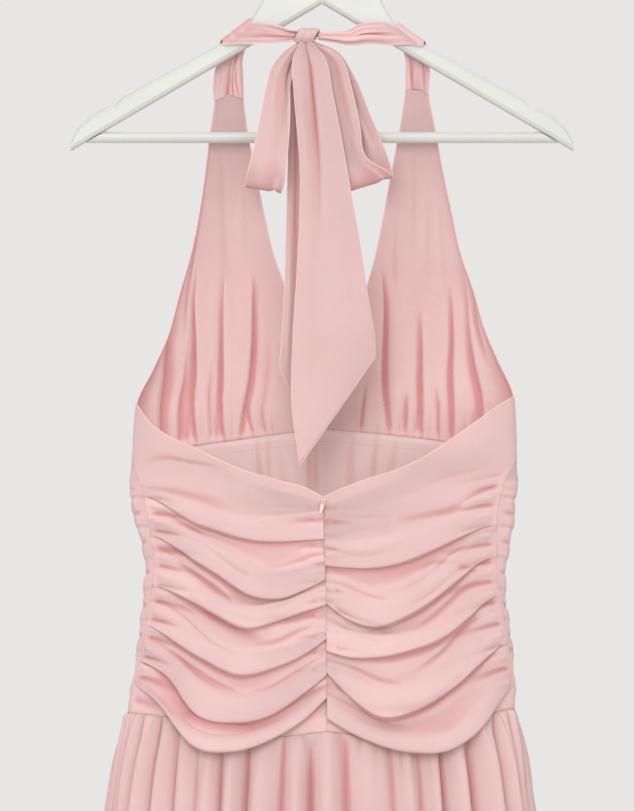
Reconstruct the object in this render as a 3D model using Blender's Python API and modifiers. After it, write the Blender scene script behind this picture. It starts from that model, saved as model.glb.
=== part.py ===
"""Halter dress of thin gathered cloth, hanging from a wooden hanger with a trouser bar.

Units are metres, +Z is up, and the dress's back faces -Y. The origin is the inner crown of the hanger's hook,
where a rail holds it. Heights in the tables are drops below that point.
"""

from typing import NamedTuple

import bmesh
import bpy
import numpy as np
from mathutils import Matrix

CLOTH = 0.0012
HALF_CLOTH = CLOTH / 2
SEAM_GAP = 0.0003
# A seam's two cut edges lie this far from its line, so that the walls stay a gap apart.
SEAM_SIDE = 0.00055
CROSS_SEAM_SIDE = 0.0006

HANGER_THICKNESS = 0.014
HANGER_EDGE_RADIUS = 0.0045
BAR_RADIUS = 0.005
BAR_DROP = 0.2380
HOOK_WIRE_RADIUS = 0.0018
HOOK_INNER_RADIUS = 0.018
HOOK_NECK_RADIUS = 0.012
HOOK_MOUTH_ANGLE = 205.0

HEM_DROP = 1.530
TUCK = 0.25

ZIP_TAPE_WIDTH = 0.020
ZIP_TAPE_THICKNESS = 0.0009
SLIDER_SIZE = (0.005, 0.0028, 0.008)
PULL_LENGTH = 0.0125
PULL_WIDTH = 0.0034
PULL_THICKNESS = 0.0010
PULL_LEAN = 14.0

COLUMNS = 11
CUP_COLUMNS = 19
STRAP_COLUMNS = 6
TAIL_COLUMNS = 9
FRONT_COLUMNS = 15
COLUMNS_A_FOLD = 3


class ArmSection(NamedTuple):
    """A cut through half the hanger: distance from its middle, and drops of its top and its underside."""

    out: float
    top: float
    bottom: float


ARM = (
    ArmSection(0.0003, 0.0756, 0.1200),
    ArmSection(0.0160, 0.0764, 0.1293),
    ArmSection(0.0300, 0.0805, 0.1378),
    ArmSection(0.0430, 0.0955, 0.1455),
    ArmSection(0.0530, 0.1180, 0.1513),
    ArmSection(0.0620, 0.1335, 0.1566),
    ArmSection(0.0740, 0.1446, 0.1636),
    ArmSection(0.0900, 0.1558, 0.1730),
    ArmSection(0.1180, 0.1708, 0.1893),
    ArmSection(0.1514, 0.1892, 0.2089),
    ArmSection(0.1760, 0.2030, 0.2233),
    ArmSection(0.1830, 0.2093, 0.2274),
    ArmSection(0.1890, 0.2106, 0.2309),
    ArmSection(0.2033, 0.2190, 0.2393),
    ArmSection(0.2130, 0.2272, 0.2450),
    ArmSection(0.2180, 0.2345, 0.2480),
    ArmSection(0.2215, 0.2430, 0.2500),
)


class Strip(NamedTuple):
    """A cut across a ribbon of cloth: its outer edge, its inner edge, and how deep it is folded there."""

    outer_x: float
    outer_drop: float
    outer_y: float
    inner_x: float
    inner_drop: float
    inner_y: float
    fold: float


# Each strap goes up from its cup on the far side of the arm. The rows over the arm are worked out from its section.
LEFT_STRAP_UP = (
    Strip(-0.0950, 0.2056, 0.0125, -0.0695, 0.2038, 0.0125, 0.0016),
    Strip(-0.0959, 0.1937, 0.0118, -0.0698, 0.1866, 0.0118, 0.0012),
    Strip(-0.0950, 0.1814, 0.0106, -0.0704, 0.1700, 0.0106, 0.0006),
)
LEFT_STRAP_DOWN = (
    Strip(-0.0757, 0.1562, -0.0098, -0.0528, 0.1375, -0.0098, 0.0000),
    Strip(-0.0510, 0.1558, -0.0122, -0.0370, 0.1409, -0.0122, 0.0010),
    Strip(-0.0352, 0.1552, -0.0155, -0.0290, 0.1444, -0.0155, 0.0016),
    Strip(-0.0234, 0.1535, -0.0190, -0.0232, 0.1455, -0.0190, 0.0016),
)
RIGHT_STRAP_UP = (
    Strip(0.0942, 0.1986, 0.0125, 0.0739, 0.1959, 0.0125, 0.0014),
    Strip(0.0950, 0.1884, 0.0118, 0.0739, 0.1822, 0.0118, 0.0012),
    Strip(0.0955, 0.1796, 0.0106, 0.0739, 0.1690, 0.0106, 0.0006),
)
RIGHT_STRAP_DOWN = (
    Strip(0.0774, 0.1563, -0.0098, 0.0570, 0.1375, -0.0098, 0.0000),
    Strip(0.0598, 0.1567, -0.0115, 0.0450, 0.1372, -0.0115, 0.0008),
    Strip(0.0422, 0.1558, -0.0140, 0.0317, 0.1395, -0.0140, 0.0014),
    Strip(0.0246, 0.1572, -0.0162, 0.0229, 0.1448, -0.0162, 0.0018),
    Strip(0.0097, 0.1550, -0.0182, 0.0097, 0.1458, -0.0182, 0.0016),
    Strip(-0.0036, 0.1528, -0.0196, -0.0038, 0.1468, -0.0196, 0.0012),
)
# The arm's top slopes, so a strap's rise over it is this many times the gap that it keeps.
STRAP_LIFT = 3.8
# Where each strap meets the arm, as distances from the middle on its far and near face.
STRAP_OVER_ARM = {"left": (0.0906, 0.0655, 0.0868, 0.0625), "right": (0.0924, 0.0695, 0.0889, 0.0662)}

KNOT_CENTRE = (-0.0136, -0.0205, -0.1490)
KNOT_HALF_SIZE = (0.0092, 0.0080, 0.0066)

LEFT_LOOP = (
    Strip(-0.0200, 0.1550, -0.0205, -0.0145, 0.1560, -0.0210, 0.0000),
    Strip(-0.0334, 0.1638, -0.0240, -0.0211, 0.1726, -0.0225, 0.0008),
    Strip(-0.0440, 0.1778, -0.0300, -0.0268, 0.1884, -0.0260, 0.0016),
    Strip(-0.0493, 0.1972, -0.0340, -0.0279, 0.2095, -0.0320, 0.0018),
    Strip(-0.0546, 0.2236, -0.0360, -0.0285, 0.2306, -0.0350, 0.0018),
    Strip(-0.0598, 0.2500, -0.0365, -0.0302, 0.2518, -0.0360, 0.0014),
    Strip(-0.0660, 0.2746, -0.0340, -0.0334, 0.2782, -0.0345, 0.0010),
    Strip(-0.0672, 0.2834, -0.0275, -0.0361, 0.2887, -0.0280, 0.0004),
    Strip(-0.0645, 0.2785, -0.0215, -0.0343, 0.2830, -0.0215, 0.0004),
    Strip(-0.0581, 0.2500, -0.0195, -0.0302, 0.2500, -0.0190, 0.0008),
    Strip(-0.0510, 0.2148, -0.0190, -0.0280, 0.2148, -0.0180, 0.0008),
    Strip(-0.0414, 0.1840, -0.0185, -0.0262, 0.1850, -0.0180, 0.0006),
    Strip(-0.0205, 0.1548, -0.0172, -0.0150, 0.1556, -0.0176, 0.0000),
)
RIGHT_LOOP = (
    Strip(-0.0070, 0.1550, -0.0205, -0.0120, 0.1561, -0.0210, 0.0000),
    Strip(0.0158, 0.1690, -0.0245, 0.0000, 0.1743, -0.0230, 0.0008),
    Strip(0.0255, 0.1954, -0.0295, 0.0044, 0.2016, -0.0245, 0.0014),
    Strip(0.0326, 0.2280, -0.0320, 0.0097, 0.2324, -0.0245, 0.0014),
    Strip(0.0396, 0.2588, -0.0330, 0.0167, 0.2632, -0.0245, 0.0012),
    Strip(0.0590, 0.2715, -0.0320, 0.0236, 0.2822, -0.0250, 0.0008),
    Strip(0.0625, 0.2755, -0.0265, 0.0246, 0.2868, -0.0220, 0.0004),
    Strip(0.0616, 0.2694, -0.0215, 0.0238, 0.2815, -0.0190, 0.0004),
    Strip(0.0528, 0.2438, -0.0205, 0.0194, 0.2500, -0.0180, 0.0008),
    Strip(0.0414, 0.2166, -0.0205, 0.0132, 0.2148, -0.0175, 0.0008),
    Strip(0.0299, 0.1884, -0.0200, 0.0085, 0.1890, -0.0175, 0.0006),
    Strip(0.0158, 0.1655, -0.0185, 0.0045, 0.1720, -0.0175, 0.0004),
    Strip(-0.0065, 0.1546, -0.0172, -0.0118, 0.1557, -0.0176, 0.0000),
)
FRONT_TAIL = (
    Strip(-0.0196, 0.1553, -0.0240, -0.0080, 0.1553, -0.0240, 0.0003),
    Strip(-0.0255, 0.1708, -0.0300, 0.0026, 0.1708, -0.0300, 0.0018),
    Strip(-0.0246, 0.1998, -0.0322, 0.0088, 0.1998, -0.0322, 0.0032),
    Strip(-0.0220, 0.2306, -0.0328, 0.0150, 0.2306, -0.0328, 0.0034),
    Strip(-0.0194, 0.2632, -0.0328, 0.0202, 0.2588, -0.0328, 0.0030),
    Strip(-0.0194, 0.3046, -0.0320, 0.0264, 0.2940, -0.0320, 0.0026),
    Strip(-0.0220, 0.3600, -0.0305, 0.0334, 0.3336, -0.0305, 0.0024),
    Strip(-0.0255, 0.4172, -0.0290, 0.0405, 0.3820, -0.0290, 0.0022),
    Strip(-0.0264, 0.4744, -0.0280, 0.0458, 0.4128, -0.0280, 0.0018),
    Strip(-0.0194, 0.5281, -0.0275, 0.0466, 0.4330, -0.0275, 0.0014),
)
BACK_TAIL = (
    Strip(-0.0180, 0.1545, -0.0148, -0.0092, 0.1545, -0.0148, 0.0000),
    Strip(-0.0264, 0.1884, -0.0125, -0.0070, 0.1884, -0.0125, 0.0008),
    Strip(-0.0290, 0.2324, -0.0122, -0.0026, 0.2280, -0.0122, 0.0010),
    Strip(-0.0299, 0.2658, -0.0125, 0.0000, 0.2658, -0.0125, 0.0012),
    Strip(-0.0317, 0.3257, -0.0140, 0.0035, 0.3257, -0.0140, 0.0016),
    Strip(-0.0334, 0.3820, -0.0150, 0.0053, 0.3820, -0.0150, 0.0018),
    Strip(-0.0361, 0.4260, -0.0155, 0.0070, 0.4304, -0.0155, 0.0016),
    Strip(-0.0365, 0.4420, -0.0158, 0.0079, 0.4656, -0.0158, 0.0014),
    Strip(-0.0273, 0.4621, -0.0160, -0.0035, 0.4920, -0.0160, 0.0012),
)


class CupRow(NamedTuple):
    """A row across a cup: its armhole edge, its neck edge, and how far it swells towards the front."""

    arm_x: float
    arm_drop: float
    arm_y: float
    neck_x: float
    neck_drop: float
    neck_y: float
    round_out: float
    swell: float


LEFT_CUP = (
    CupRow(-0.0950, 0.2062, 0.0125, -0.0695, 0.2044, 0.0125, 0.0010, 0.0000),
    CupRow(-0.0986, 0.2324, 0.0140, -0.0660, 0.2324, 0.0140, 0.0025, 0.0010),
    CupRow(-0.1021, 0.2597, 0.0155, -0.0607, 0.2597, 0.0160, 0.0050, 0.0020),
    CupRow(-0.1082, 0.3019, 0.0160, -0.0519, 0.3019, 0.0190, 0.0090, 0.0040),
    CupRow(-0.1162, 0.3415, 0.0150, -0.0427, 0.3415, 0.0225, 0.0130, 0.0070),
    CupRow(-0.1258, 0.3750, 0.0130, -0.0308, 0.3750, 0.0265, 0.0170, 0.0090),
    CupRow(-0.1364, 0.4137, 0.0090, -0.0202, 0.4137, 0.0305, 0.0230, 0.0100),
    CupRow(-0.1496, 0.4436, 0.0050, -0.0132, 0.4454, 0.0335, 0.0290, 0.0080),
    CupRow(-0.1637, 0.4735, 0.0005, -0.0062, 0.4744, 0.0358, 0.0340, 0.0040),
    CupRow(-0.1668, 0.5184, -0.0012, -0.0005, 0.4946, 0.0370, 0.0370, 0.0000),
)
RIGHT_CUP = (
    CupRow(0.0942, 0.1992, 0.0125, 0.0739, 0.1965, 0.0125, 0.0010, 0.0000),
    CupRow(0.1003, 0.2315, 0.0140, 0.0686, 0.2315, 0.0140, 0.0025, 0.0010),
    CupRow(0.1056, 0.2597, 0.0155, 0.0634, 0.2597, 0.0160, 0.0050, 0.0020),
    CupRow(0.1144, 0.3019, 0.0160, 0.0554, 0.3019, 0.0190, 0.0090, 0.0040),
    CupRow(0.1232, 0.3415, 0.0150, 0.0475, 0.3415, 0.0225, 0.0130, 0.0070),
    CupRow(0.1338, 0.3723, 0.0130, 0.0387, 0.3732, 0.0262, 0.0170, 0.0090),
    CupRow(0.1443, 0.4084, 0.0090, 0.0264, 0.4137, 0.0303, 0.0230, 0.0100),
    CupRow(0.1558, 0.4357, 0.0050, 0.0167, 0.4454, 0.0335, 0.0290, 0.0080),
    CupRow(0.1690, 0.4665, 0.0005, 0.0070, 0.4735, 0.0358, 0.0340, 0.0040),
    CupRow(0.1712, 0.5184, -0.0014, 0.0005, 0.4946, 0.0370, 0.0370, 0.0000),
)


class Gather(NamedTuple):
    """A fold running up a cup from its seam: place from armhole edge to neck edge, width, depth and reach."""

    across: float
    width: float
    depth: float
    reach: float


LEFT_GATHERS = (
    Gather(0.12, 0.045, 0.0016, 0.25),
    Gather(0.22, 0.045, 0.0022, 0.55),
    Gather(0.32, 0.050, 0.0028, 0.60),
    Gather(0.42, 0.045, 0.0018, 0.25),
    Gather(0.50, 0.050, 0.0026, 0.65),
    Gather(0.60, 0.045, 0.0016, 0.30),
    Gather(0.70, 0.050, 0.0024, 0.60),
    Gather(0.84, 0.045, 0.0014, 0.30),
)
RIGHT_GATHERS = (
    Gather(0.10, 0.045, 0.0020, 0.35),
    Gather(0.20, 0.050, 0.0026, 0.55),
    Gather(0.31, 0.045, 0.0018, 0.40),
    Gather(0.41, 0.050, 0.0016, 0.25),
    Gather(0.52, 0.045, 0.0024, 0.40),
    Gather(0.62, 0.045, 0.0014, 0.25),
    Gather(0.72, 0.050, 0.0026, 0.65),
    Gather(0.85, 0.045, 0.0014, 0.20),
)


class Level(NamedTuple):
    """A level ring of the midriff. Each side seam sits some degrees behind the ring's widest point."""

    drop: float
    left_edge: float
    left_turn: float
    middle: float
    right_turn: float
    right_edge: float
    front_depth: float
    back_depth: float


LEVELS = (
    Level(0.4600, 0.1620, 0.0, 0.0000, 0.0, 0.1685, 0.0350, 0.0250),
    Level(0.4735, 0.1637, 0.5, 0.0000, 0.5, 0.1695, 0.0358, 0.0255),
    Level(0.5184, 0.1672, 5.0, 0.0005, 6.0, 0.1716, 0.0370, 0.0260),
    Level(0.5404, 0.1675, 16.0, 0.0008, 19.0, 0.1705, 0.0365, 0.0262),
    Level(0.5624, 0.1660, 20.5, 0.0011, 22.5, 0.1680, 0.0350, 0.0262),
    Level(0.5862, 0.1600, 18.9, 0.0016, 22.0, 0.1655, 0.0335, 0.0255),
    Level(0.6108, 0.1545, 17.0, 0.0025, 18.5, 0.1615, 0.0318, 0.0245),
    Level(0.6372, 0.1555, 15.5, 0.0035, 15.0, 0.1600, 0.0308, 0.0245),
    Level(0.6610, 0.1580, 13.7, 0.0037, 12.7, 0.1630, 0.0312, 0.0260),
    Level(0.6900, 0.1620, 11.5, 0.0039, 10.9, 0.1670, 0.0328, 0.0290),
    Level(0.7164, 0.1670, 9.8, 0.0041, 9.6, 0.1700, 0.0342, 0.0320),
    Level(0.7454, 0.1710, 8.0, 0.0043, 8.5, 0.1695, 0.0355, 0.0340),
    Level(0.7800, 0.1750, 8.0, 0.0045, 8.5, 0.1715, 0.0375, 0.0360),
)


class Edge(NamedTuple):
    """A drop along an edge: share of the way from the side seam to the middle, and the drops left and right."""

    share: float
    left: float
    right: float


BACK_TOP = (
    Edge(0.00, 0.4735, 0.4670),
    Edge(0.07, 0.4885, 0.4740),
    Edge(0.18, 0.5020, 0.4870),
    Edge(0.30, 0.5120, 0.5015),
    Edge(0.50, 0.5305, 0.5275),
    Edge(0.75, 0.5425, 0.5420),
    Edge(0.90, 0.5485, 0.5500),
    Edge(1.00, 0.5560, 0.5560),
)
UNDERBUST = (
    Edge(0.00, 0.5184, 0.5184),
    Edge(0.32, 0.5105, 0.5080),
    Edge(0.64, 0.5026, 0.5003),
    Edge(1.00, 0.4946, 0.4946),
)
BACK_WAIST = (
    Edge(0.00, 0.7454, 0.7420),
    Edge(0.25, 0.7507, 0.7530),
    Edge(0.50, 0.7604, 0.7625),
    Edge(0.75, 0.7650, 0.7640),
    Edge(1.00, 0.7613, 0.7613),
)
FRONT_WAIST = (
    Edge(0.00, 0.7454, 0.7420),
    Edge(0.50, 0.7560, 0.7560),
    Edge(1.00, 0.7600, 0.7600),
)


class Drape(NamedTuple):
    """A fold draped from side seam to middle: drops of its lip on the way, then how far it stands out."""

    side: float
    quarter: float
    half: float
    three_quarter: float
    middle: float
    out_side: float
    out_half: float
    out_middle: float


LEFT_DRAPES = (
    Drape(0.560, 0.580, 0.592, 0.594, 0.592, 0.0030, 0.0034, 0.0020),
    Drape(0.574, 0.593, 0.609, 0.616, 0.607, 0.0034, 0.0026, 0.0004),
    Drape(0.591, 0.613, 0.639, 0.643, 0.625, 0.0032, 0.0056, 0.0030),
    Drape(0.629, 0.643, 0.652, 0.652, 0.634, 0.0034, 0.0020, 0.0014),
    Drape(0.641, 0.657, 0.668, 0.664, 0.649, 0.0026, 0.0040, 0.0026),
    Drape(0.658, 0.681, 0.691, 0.688, 0.670, 0.0030, 0.0050, 0.0030),
    Drape(0.674, 0.699, 0.711, 0.701, 0.683, 0.0022, 0.0040, 0.0020),
    Drape(0.686, 0.714, 0.729, 0.719, 0.697, 0.0026, 0.0046, 0.0006),
    Drape(0.700, 0.738, 0.750, 0.738, 0.712, 0.0024, 0.0070, 0.0030),
    Drape(0.729, 0.770, 0.778, 0.765, 0.731, 0.0040, 0.0150, 0.0050),
)
RIGHT_DRAPES = (
    Drape(0.547, 0.568, 0.586, 0.589, 0.594, 0.0026, 0.0032, 0.0020),
    Drape(0.578, 0.591, 0.607, 0.616, 0.612, 0.0034, 0.0050, 0.0022),
    Drape(0.597, 0.617, 0.633, 0.637, 0.630, 0.0026, 0.0038, 0.0020),
    Drape(0.613, 0.639, 0.657, 0.664, 0.647, 0.0032, 0.0056, 0.0026),
    Drape(0.638, 0.658, 0.672, 0.678, 0.664, 0.0030, 0.0036, 0.0020),
    Drape(0.655, 0.677, 0.690, 0.694, 0.680, 0.0020, 0.0030, 0.0012),
    Drape(0.676, 0.712, 0.729, 0.716, 0.695, 0.0030, 0.0060, 0.0028),
    Drape(0.692, 0.738, 0.752, 0.740, 0.711, 0.0012, 0.0060, 0.0030),
    Drape(0.725, 0.774, 0.780, 0.769, 0.740, 0.0040, 0.0150, 0.0070),
)
FRONT_DRAPES = (
    Drape(0.553, 0.560, 0.566, 0.570, 0.572, 0.0026, 0.0030, 0.0026),
    Drape(0.579, 0.590, 0.598, 0.604, 0.606, 0.0028, 0.0040, 0.0034),
    Drape(0.606, 0.620, 0.630, 0.637, 0.639, 0.0030, 0.0034, 0.0030),
    Drape(0.634, 0.648, 0.660, 0.668, 0.670, 0.0028, 0.0044, 0.0036),
    Drape(0.661, 0.677, 0.690, 0.699, 0.702, 0.0026, 0.0036, 0.0040),
    Drape(0.688, 0.706, 0.720, 0.730, 0.733, 0.0026, 0.0050, 0.0050),
)


class Phase(NamedTuple):
    """A point on a draped fold's section: share of the way down to its lip, and share of its full reach out."""

    down: float
    out: float


DRAPE_SECTION = (Phase(0.10, 0.06), Phase(0.55, 0.70), Phase(0.88, 1.00), Phase(1.00, 0.70))


class Flare(NamedTuple):
    """A level of the skirt: drop below the waist seam, how far it has spread, and how deep its folds are."""

    below: float
    spread_x: float
    spread_y: float
    fold: float


SKIRT = (
    Flare(0.0000, 0.0000, 0.0000, 0.0000),
    Flare(0.0080, 0.0020, 0.0003, 0.0016),
    Flare(0.0280, 0.0062, 0.0012, 0.0040),
    Flare(0.0850, 0.0150, 0.0050, 0.0068),
    Flare(0.2200, 0.0380, 0.0160, 0.0090),
    Flare(0.4500, 0.0720, 0.0330, 0.0120),
    Flare(0.7700, 0.1000, 0.0480, 0.0150),
)


class Pleat(NamedTuple):
    """A hanging fold of the skirt: where the hollow before it lies across the half, and its depth's share."""

    share: float
    depth: float


BACK_PLEATS = (
    Pleat(0.000, 0.5),
    Pleat(0.045, 0.8),
    Pleat(0.105, 1.0),
    Pleat(0.167, 1.2),
    Pleat(0.222, 0.8),
    Pleat(0.268, 0.9),
    Pleat(0.316, 0.8),
    Pleat(0.364, 1.0),
    Pleat(0.426, 0.8),
    Pleat(0.474, 1.0),
    Pleat(0.536, 1.2),
    Pleat(0.620, 0.9),
    Pleat(0.672, 0.8),
    Pleat(0.720, 1.0),
    Pleat(0.787, 1.2),
    Pleat(0.870, 0.9),
    Pleat(0.930, 0.8),
    Pleat(1.000, 0.5),
)
FRONT_PLEATS = (
    Pleat(0.000, 0.5),
    Pleat(0.060, 0.9),
    Pleat(0.130, 1.0),
    Pleat(0.190, 0.8),
    Pleat(0.260, 1.2),
    Pleat(0.335, 0.8),
    Pleat(0.390, 1.0),
    Pleat(0.455, 0.9),
    Pleat(0.525, 1.2),
    Pleat(0.600, 0.8),
    Pleat(0.655, 1.0),
    Pleat(0.725, 1.1),
    Pleat(0.800, 0.8),
    Pleat(0.865, 1.0),
    Pleat(0.935, 0.9),
    Pleat(1.000, 0.5),
)


class Finish(NamedTuple):
    """A material's base colour, roughness and metallic value."""

    colour: tuple
    roughness: float
    metallic: float


PINK_CLOTH = Finish((0.80, 0.50, 0.50), 0.85, 0.0)
WHITE_PAINT = Finish((0.80, 0.82, 0.76), 0.35, 0.0)
BRIGHT_WIRE = Finish((0.75, 0.75, 0.76), 0.22, 1.0)
PALE_ZIP = Finish((0.78, 0.55, 0.53), 0.45, 0.0)


def clear_scene():
    """Take the startup objects away."""
    for thing in list(bpy.data.objects):
        bpy.data.objects.remove(thing, do_unlink=True)


def new_collection(name):
    """A collection that is linked to the scene."""
    collection = bpy.data.collections.new(name)
    bpy.context.scene.collection.children.link(collection)
    return collection


def material(name, finish):
    """A material with one Principled BSDF."""
    made = bpy.data.materials.new(name)
    made.use_nodes = True
    shader = made.node_tree.nodes["Principled BSDF"]
    shader.inputs["Base Color"].default_value = (*finish.colour, 1.0)
    shader.inputs["Roughness"].default_value = finish.roughness
    shader.inputs["Metallic"].default_value = finish.metallic
    return made


def through(at, knots, values):
    """A smooth curve through a table's rows, read at the given places."""
    at, knots, values = (np.asarray(item, float) for item in (at, knots, values))
    if values.ndim == 1:
        return through(at, knots, values[:, None])[..., 0]
    steps = np.diff(knots)[:, None]
    rises = np.diff(values, axis=0) / steps
    slopes = np.vstack([rises[:1], (rises[:-1] * steps[1:] + rises[1:] * steps[:-1]) / (steps[1:] + steps[:-1]), rises[-1:]])
    row = np.clip(np.searchsorted(knots, at, side="right") - 1, 0, len(knots) - 2)
    step = steps[row]
    part = (at[..., None] - knots[row][..., None]) / step
    start = values[row] * (1 + 2 * part) * (1 - part) ** 2 + values[row + 1] * part**2 * (3 - 2 * part)
    bend = step * part * (1 - part) * (slopes[row] * (1 - part) - slopes[row + 1] * part)
    return start + bend


def eased(count):
    """Shares from 0 to 1, closer together near both ends, so that a seam's margin lies flat."""
    return (1 - np.cos(np.pi * np.linspace(0, 1, count))) / 2


def normals_of(points):
    """The unit normal at each point of a grid: along its rows crossed with down its columns."""
    along = np.gradient(points, axis=1)
    down = np.gradient(points, axis=0)
    normals = np.cross(along, down)
    return normals / np.linalg.norm(normals, axis=2, keepdims=True)


def place_in(collection, name, mesh, finish):
    """An object for a mesh, with its own material, shaded smooth."""
    mesh.materials.append(material(name, finish))
    mesh.shade_smooth()
    made = bpy.data.objects.new(name, mesh)
    collection.objects.link(made)
    return made


def grid_faces(rows, columns, start=0, flip=False):
    """The four-sided faces of a grid of points."""
    first = start + np.arange(rows - 1)[:, None] * columns + np.arange(columns - 1)
    faces = np.stack([first, first + columns, first + columns + 1, first + 1], axis=2).reshape(-1, 4)
    return faces[:, ::-1] if flip else faces


def cloth(collection, name, points):
    """A sheet of cloth: an open grid of points down its middle, thickened to both sides."""
    rows, columns, _ = points.shape
    mesh = bpy.data.meshes.new(name)
    mesh.from_pydata(points.reshape(-1, 3).tolist(), [], grid_faces(rows, columns).tolist())
    made = place_in(collection, name, mesh, PINK_CLOTH)
    wall = made.modifiers.new("wall", "SOLIDIFY")
    wall.thickness = CLOTH
    wall.offset = 0
    return made


def layered(collection, name, outer, inner):
    """A wall between two unlike grids, as where a folded outside lies on a plain inside."""
    rows, columns, _ = outer.shape
    count = rows * columns
    index = np.arange(count).reshape(rows, columns)
    ring = np.concatenate([index[0, :-1], index[:-1, -1], index[-1, :0:-1], index[:0:-1, 0]])
    after = np.roll(ring, -1)
    rim = np.stack([ring, after, after + count, ring + count], axis=1)
    faces = np.concatenate([grid_faces(rows, columns), grid_faces(rows, columns, count, True), rim])
    mesh = bpy.data.meshes.new(name)
    mesh.from_pydata(np.concatenate([outer.reshape(-1, 3), inner.reshape(-1, 3)]).tolist(), [], faces.tolist())
    return place_in(collection, name, mesh, PINK_CLOTH)


def lofted(collection, name, rings, finish):
    """A closed body through rings of points, capped at both ends."""
    count, around, _ = rings.shape
    index = np.arange(count * around).reshape(count, around)
    after = np.roll(index, -1, axis=1)
    sides = np.stack([index[:-1], after[:-1], after[1:], index[1:]], axis=2).reshape(-1, 4).tolist()
    mesh = bpy.data.meshes.new(name)
    mesh.from_pydata(rings.reshape(-1, 3).tolist(), [], sides + [index[0, ::-1].tolist(), index[-1].tolist()])
    body = bmesh.new()
    body.from_mesh(mesh)
    bmesh.ops.recalc_face_normals(body, faces=body.faces[:])
    body.to_mesh(mesh)
    body.free()
    made = place_in(collection, name, mesh, finish)
    mesh.set_sharp_from_angle(angle=np.radians(50))
    return made


def arm_top(out):
    """The drop of the arm's top at a distance from the hanger's middle."""
    return through(out, [row.out for row in ARM], [row.top for row in ARM])


def build_arm(collection, name, side):
    """Half the hanger: rings with rounded corners, from the middle out to the tip."""
    corner = np.radians([0, 45, 90])
    rings = []
    for row in ARM:
        half_height = (row.bottom - row.top) / 2
        radius = min(HANGER_EDGE_RADIUS, half_height * 0.9)
        middle = -(row.top + row.bottom) / 2
        ring = []
        for quarter, (sign_y, sign_z) in enumerate(((1, 1), (-1, 1), (-1, -1), (1, -1))):
            turn = corner if quarter % 2 == 0 else corner[::-1]
            y = sign_y * (HANGER_THICKNESS / 2 - radius + radius * np.cos(turn))
            z = middle + sign_z * (half_height - radius + radius * np.sin(turn))
            ring += [(side * row.out, *pair) for pair in zip(y, z)]
        rings.append(ring)
    return lofted(collection, name, np.array(rings), WHITE_PAINT)


def build_bar(collection):
    """The trouser bar, mitred where it meets the sloping underside of each arm."""
    outs = [row.out for row in ARM]
    bottoms = [row.bottom for row in ARM]
    turn = np.linspace(0, 2 * np.pi, 16, endpoint=False)
    y = BAR_RADIUS * np.cos(turn)
    z = -BAR_DROP + BAR_RADIUS * np.sin(turn)
    slope_gap = SEAM_GAP * 1.3
    out = np.interp(-z - slope_gap, bottoms, outs) - slope_gap
    rings = np.array([np.stack([side * out, y, z], axis=1) for side in (-1, 1)])
    return lofted(collection, "hanger_bar", rings, WHITE_PAINT)


def build_hook(collection):
    """The wire hook: a round crown, then a reverse bend into a straight neck."""
    crown_radius = HOOK_INNER_RADIUS + HOOK_WIRE_RADIUS
    crown = np.array([0.0, -HOOK_INNER_RADIUS])
    lean = np.degrees(np.arccos(HOOK_NECK_RADIUS / (crown_radius + HOOK_NECK_RADIUS)))
    turn = np.radians(np.linspace(HOOK_MOUTH_ANGLE, -lean, 22))
    round_part = crown + crown_radius * np.stack([np.cos(turn), np.sin(turn)], axis=1)
    bend_middle = crown + (crown_radius + HOOK_NECK_RADIUS) * np.array([np.cos(turn[-1]), np.sin(turn[-1])])
    turn = np.radians(np.linspace(180 - lean, 180, 6)[1:])
    bend = bend_middle + HOOK_NECK_RADIUS * np.stack([np.cos(turn), np.sin(turn)], axis=1)
    neck = [(0.0, -ARM[0].top + SEAM_GAP)]
    route = np.concatenate([round_part, bend, neck])
    curve = bpy.data.curves.new("hanger_hook", "CURVE")
    curve.dimensions = "3D"
    curve.bevel_depth = HOOK_WIRE_RADIUS
    curve.bevel_resolution = 2
    curve.use_fill_caps = True
    spline = curve.splines.new("POLY")
    spline.points.add(len(route) - 1)
    for point, (x, z) in zip(spline.points, route):
        point.co = (x, 0.0, z, 1.0)
    curve.materials.append(material("hanger_hook", BRIGHT_WIRE))
    hook = bpy.data.objects.new("hanger_hook", curve)
    collection.objects.link(hook)
    return hook


def folded(points, depths, waves):
    """A ribbon's points moved along its normal into soft folds, deepest where the table says."""
    share = np.linspace(0, 1, points.shape[1])
    wave = -np.cos(2 * np.pi * waves * share)
    return points + normals_of(points) * (depths[:, None] * wave)[..., None]


def eased_along(rows, count):
    """A ribbon's table read at more places, by length, on curves through its edges."""
    table = np.array(rows)
    moves = np.diff((table[:, 0:3] + table[:, 3:6]) / 2, axis=0)
    length = np.concatenate([[0], np.cumsum(np.linalg.norm(moves, axis=1))])
    return through(np.linspace(0, length[-1], count), length, table)


def ribbon(rows, columns, waves):
    """A grid over a ribbon: its rows run between two edges, and folds lie along it."""
    read = np.array(rows)
    outer = read[:, [0, 2, 1]] * (1, 1, -1)
    inner = read[:, [3, 5, 4]] * (1, 1, -1)
    share = np.linspace(0, 1, columns)[None, :, None]
    points = outer[:, None] * (1 - share) + inner[:, None] * share
    return folded(points, np.abs(read[:, 6]), waves)


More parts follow.
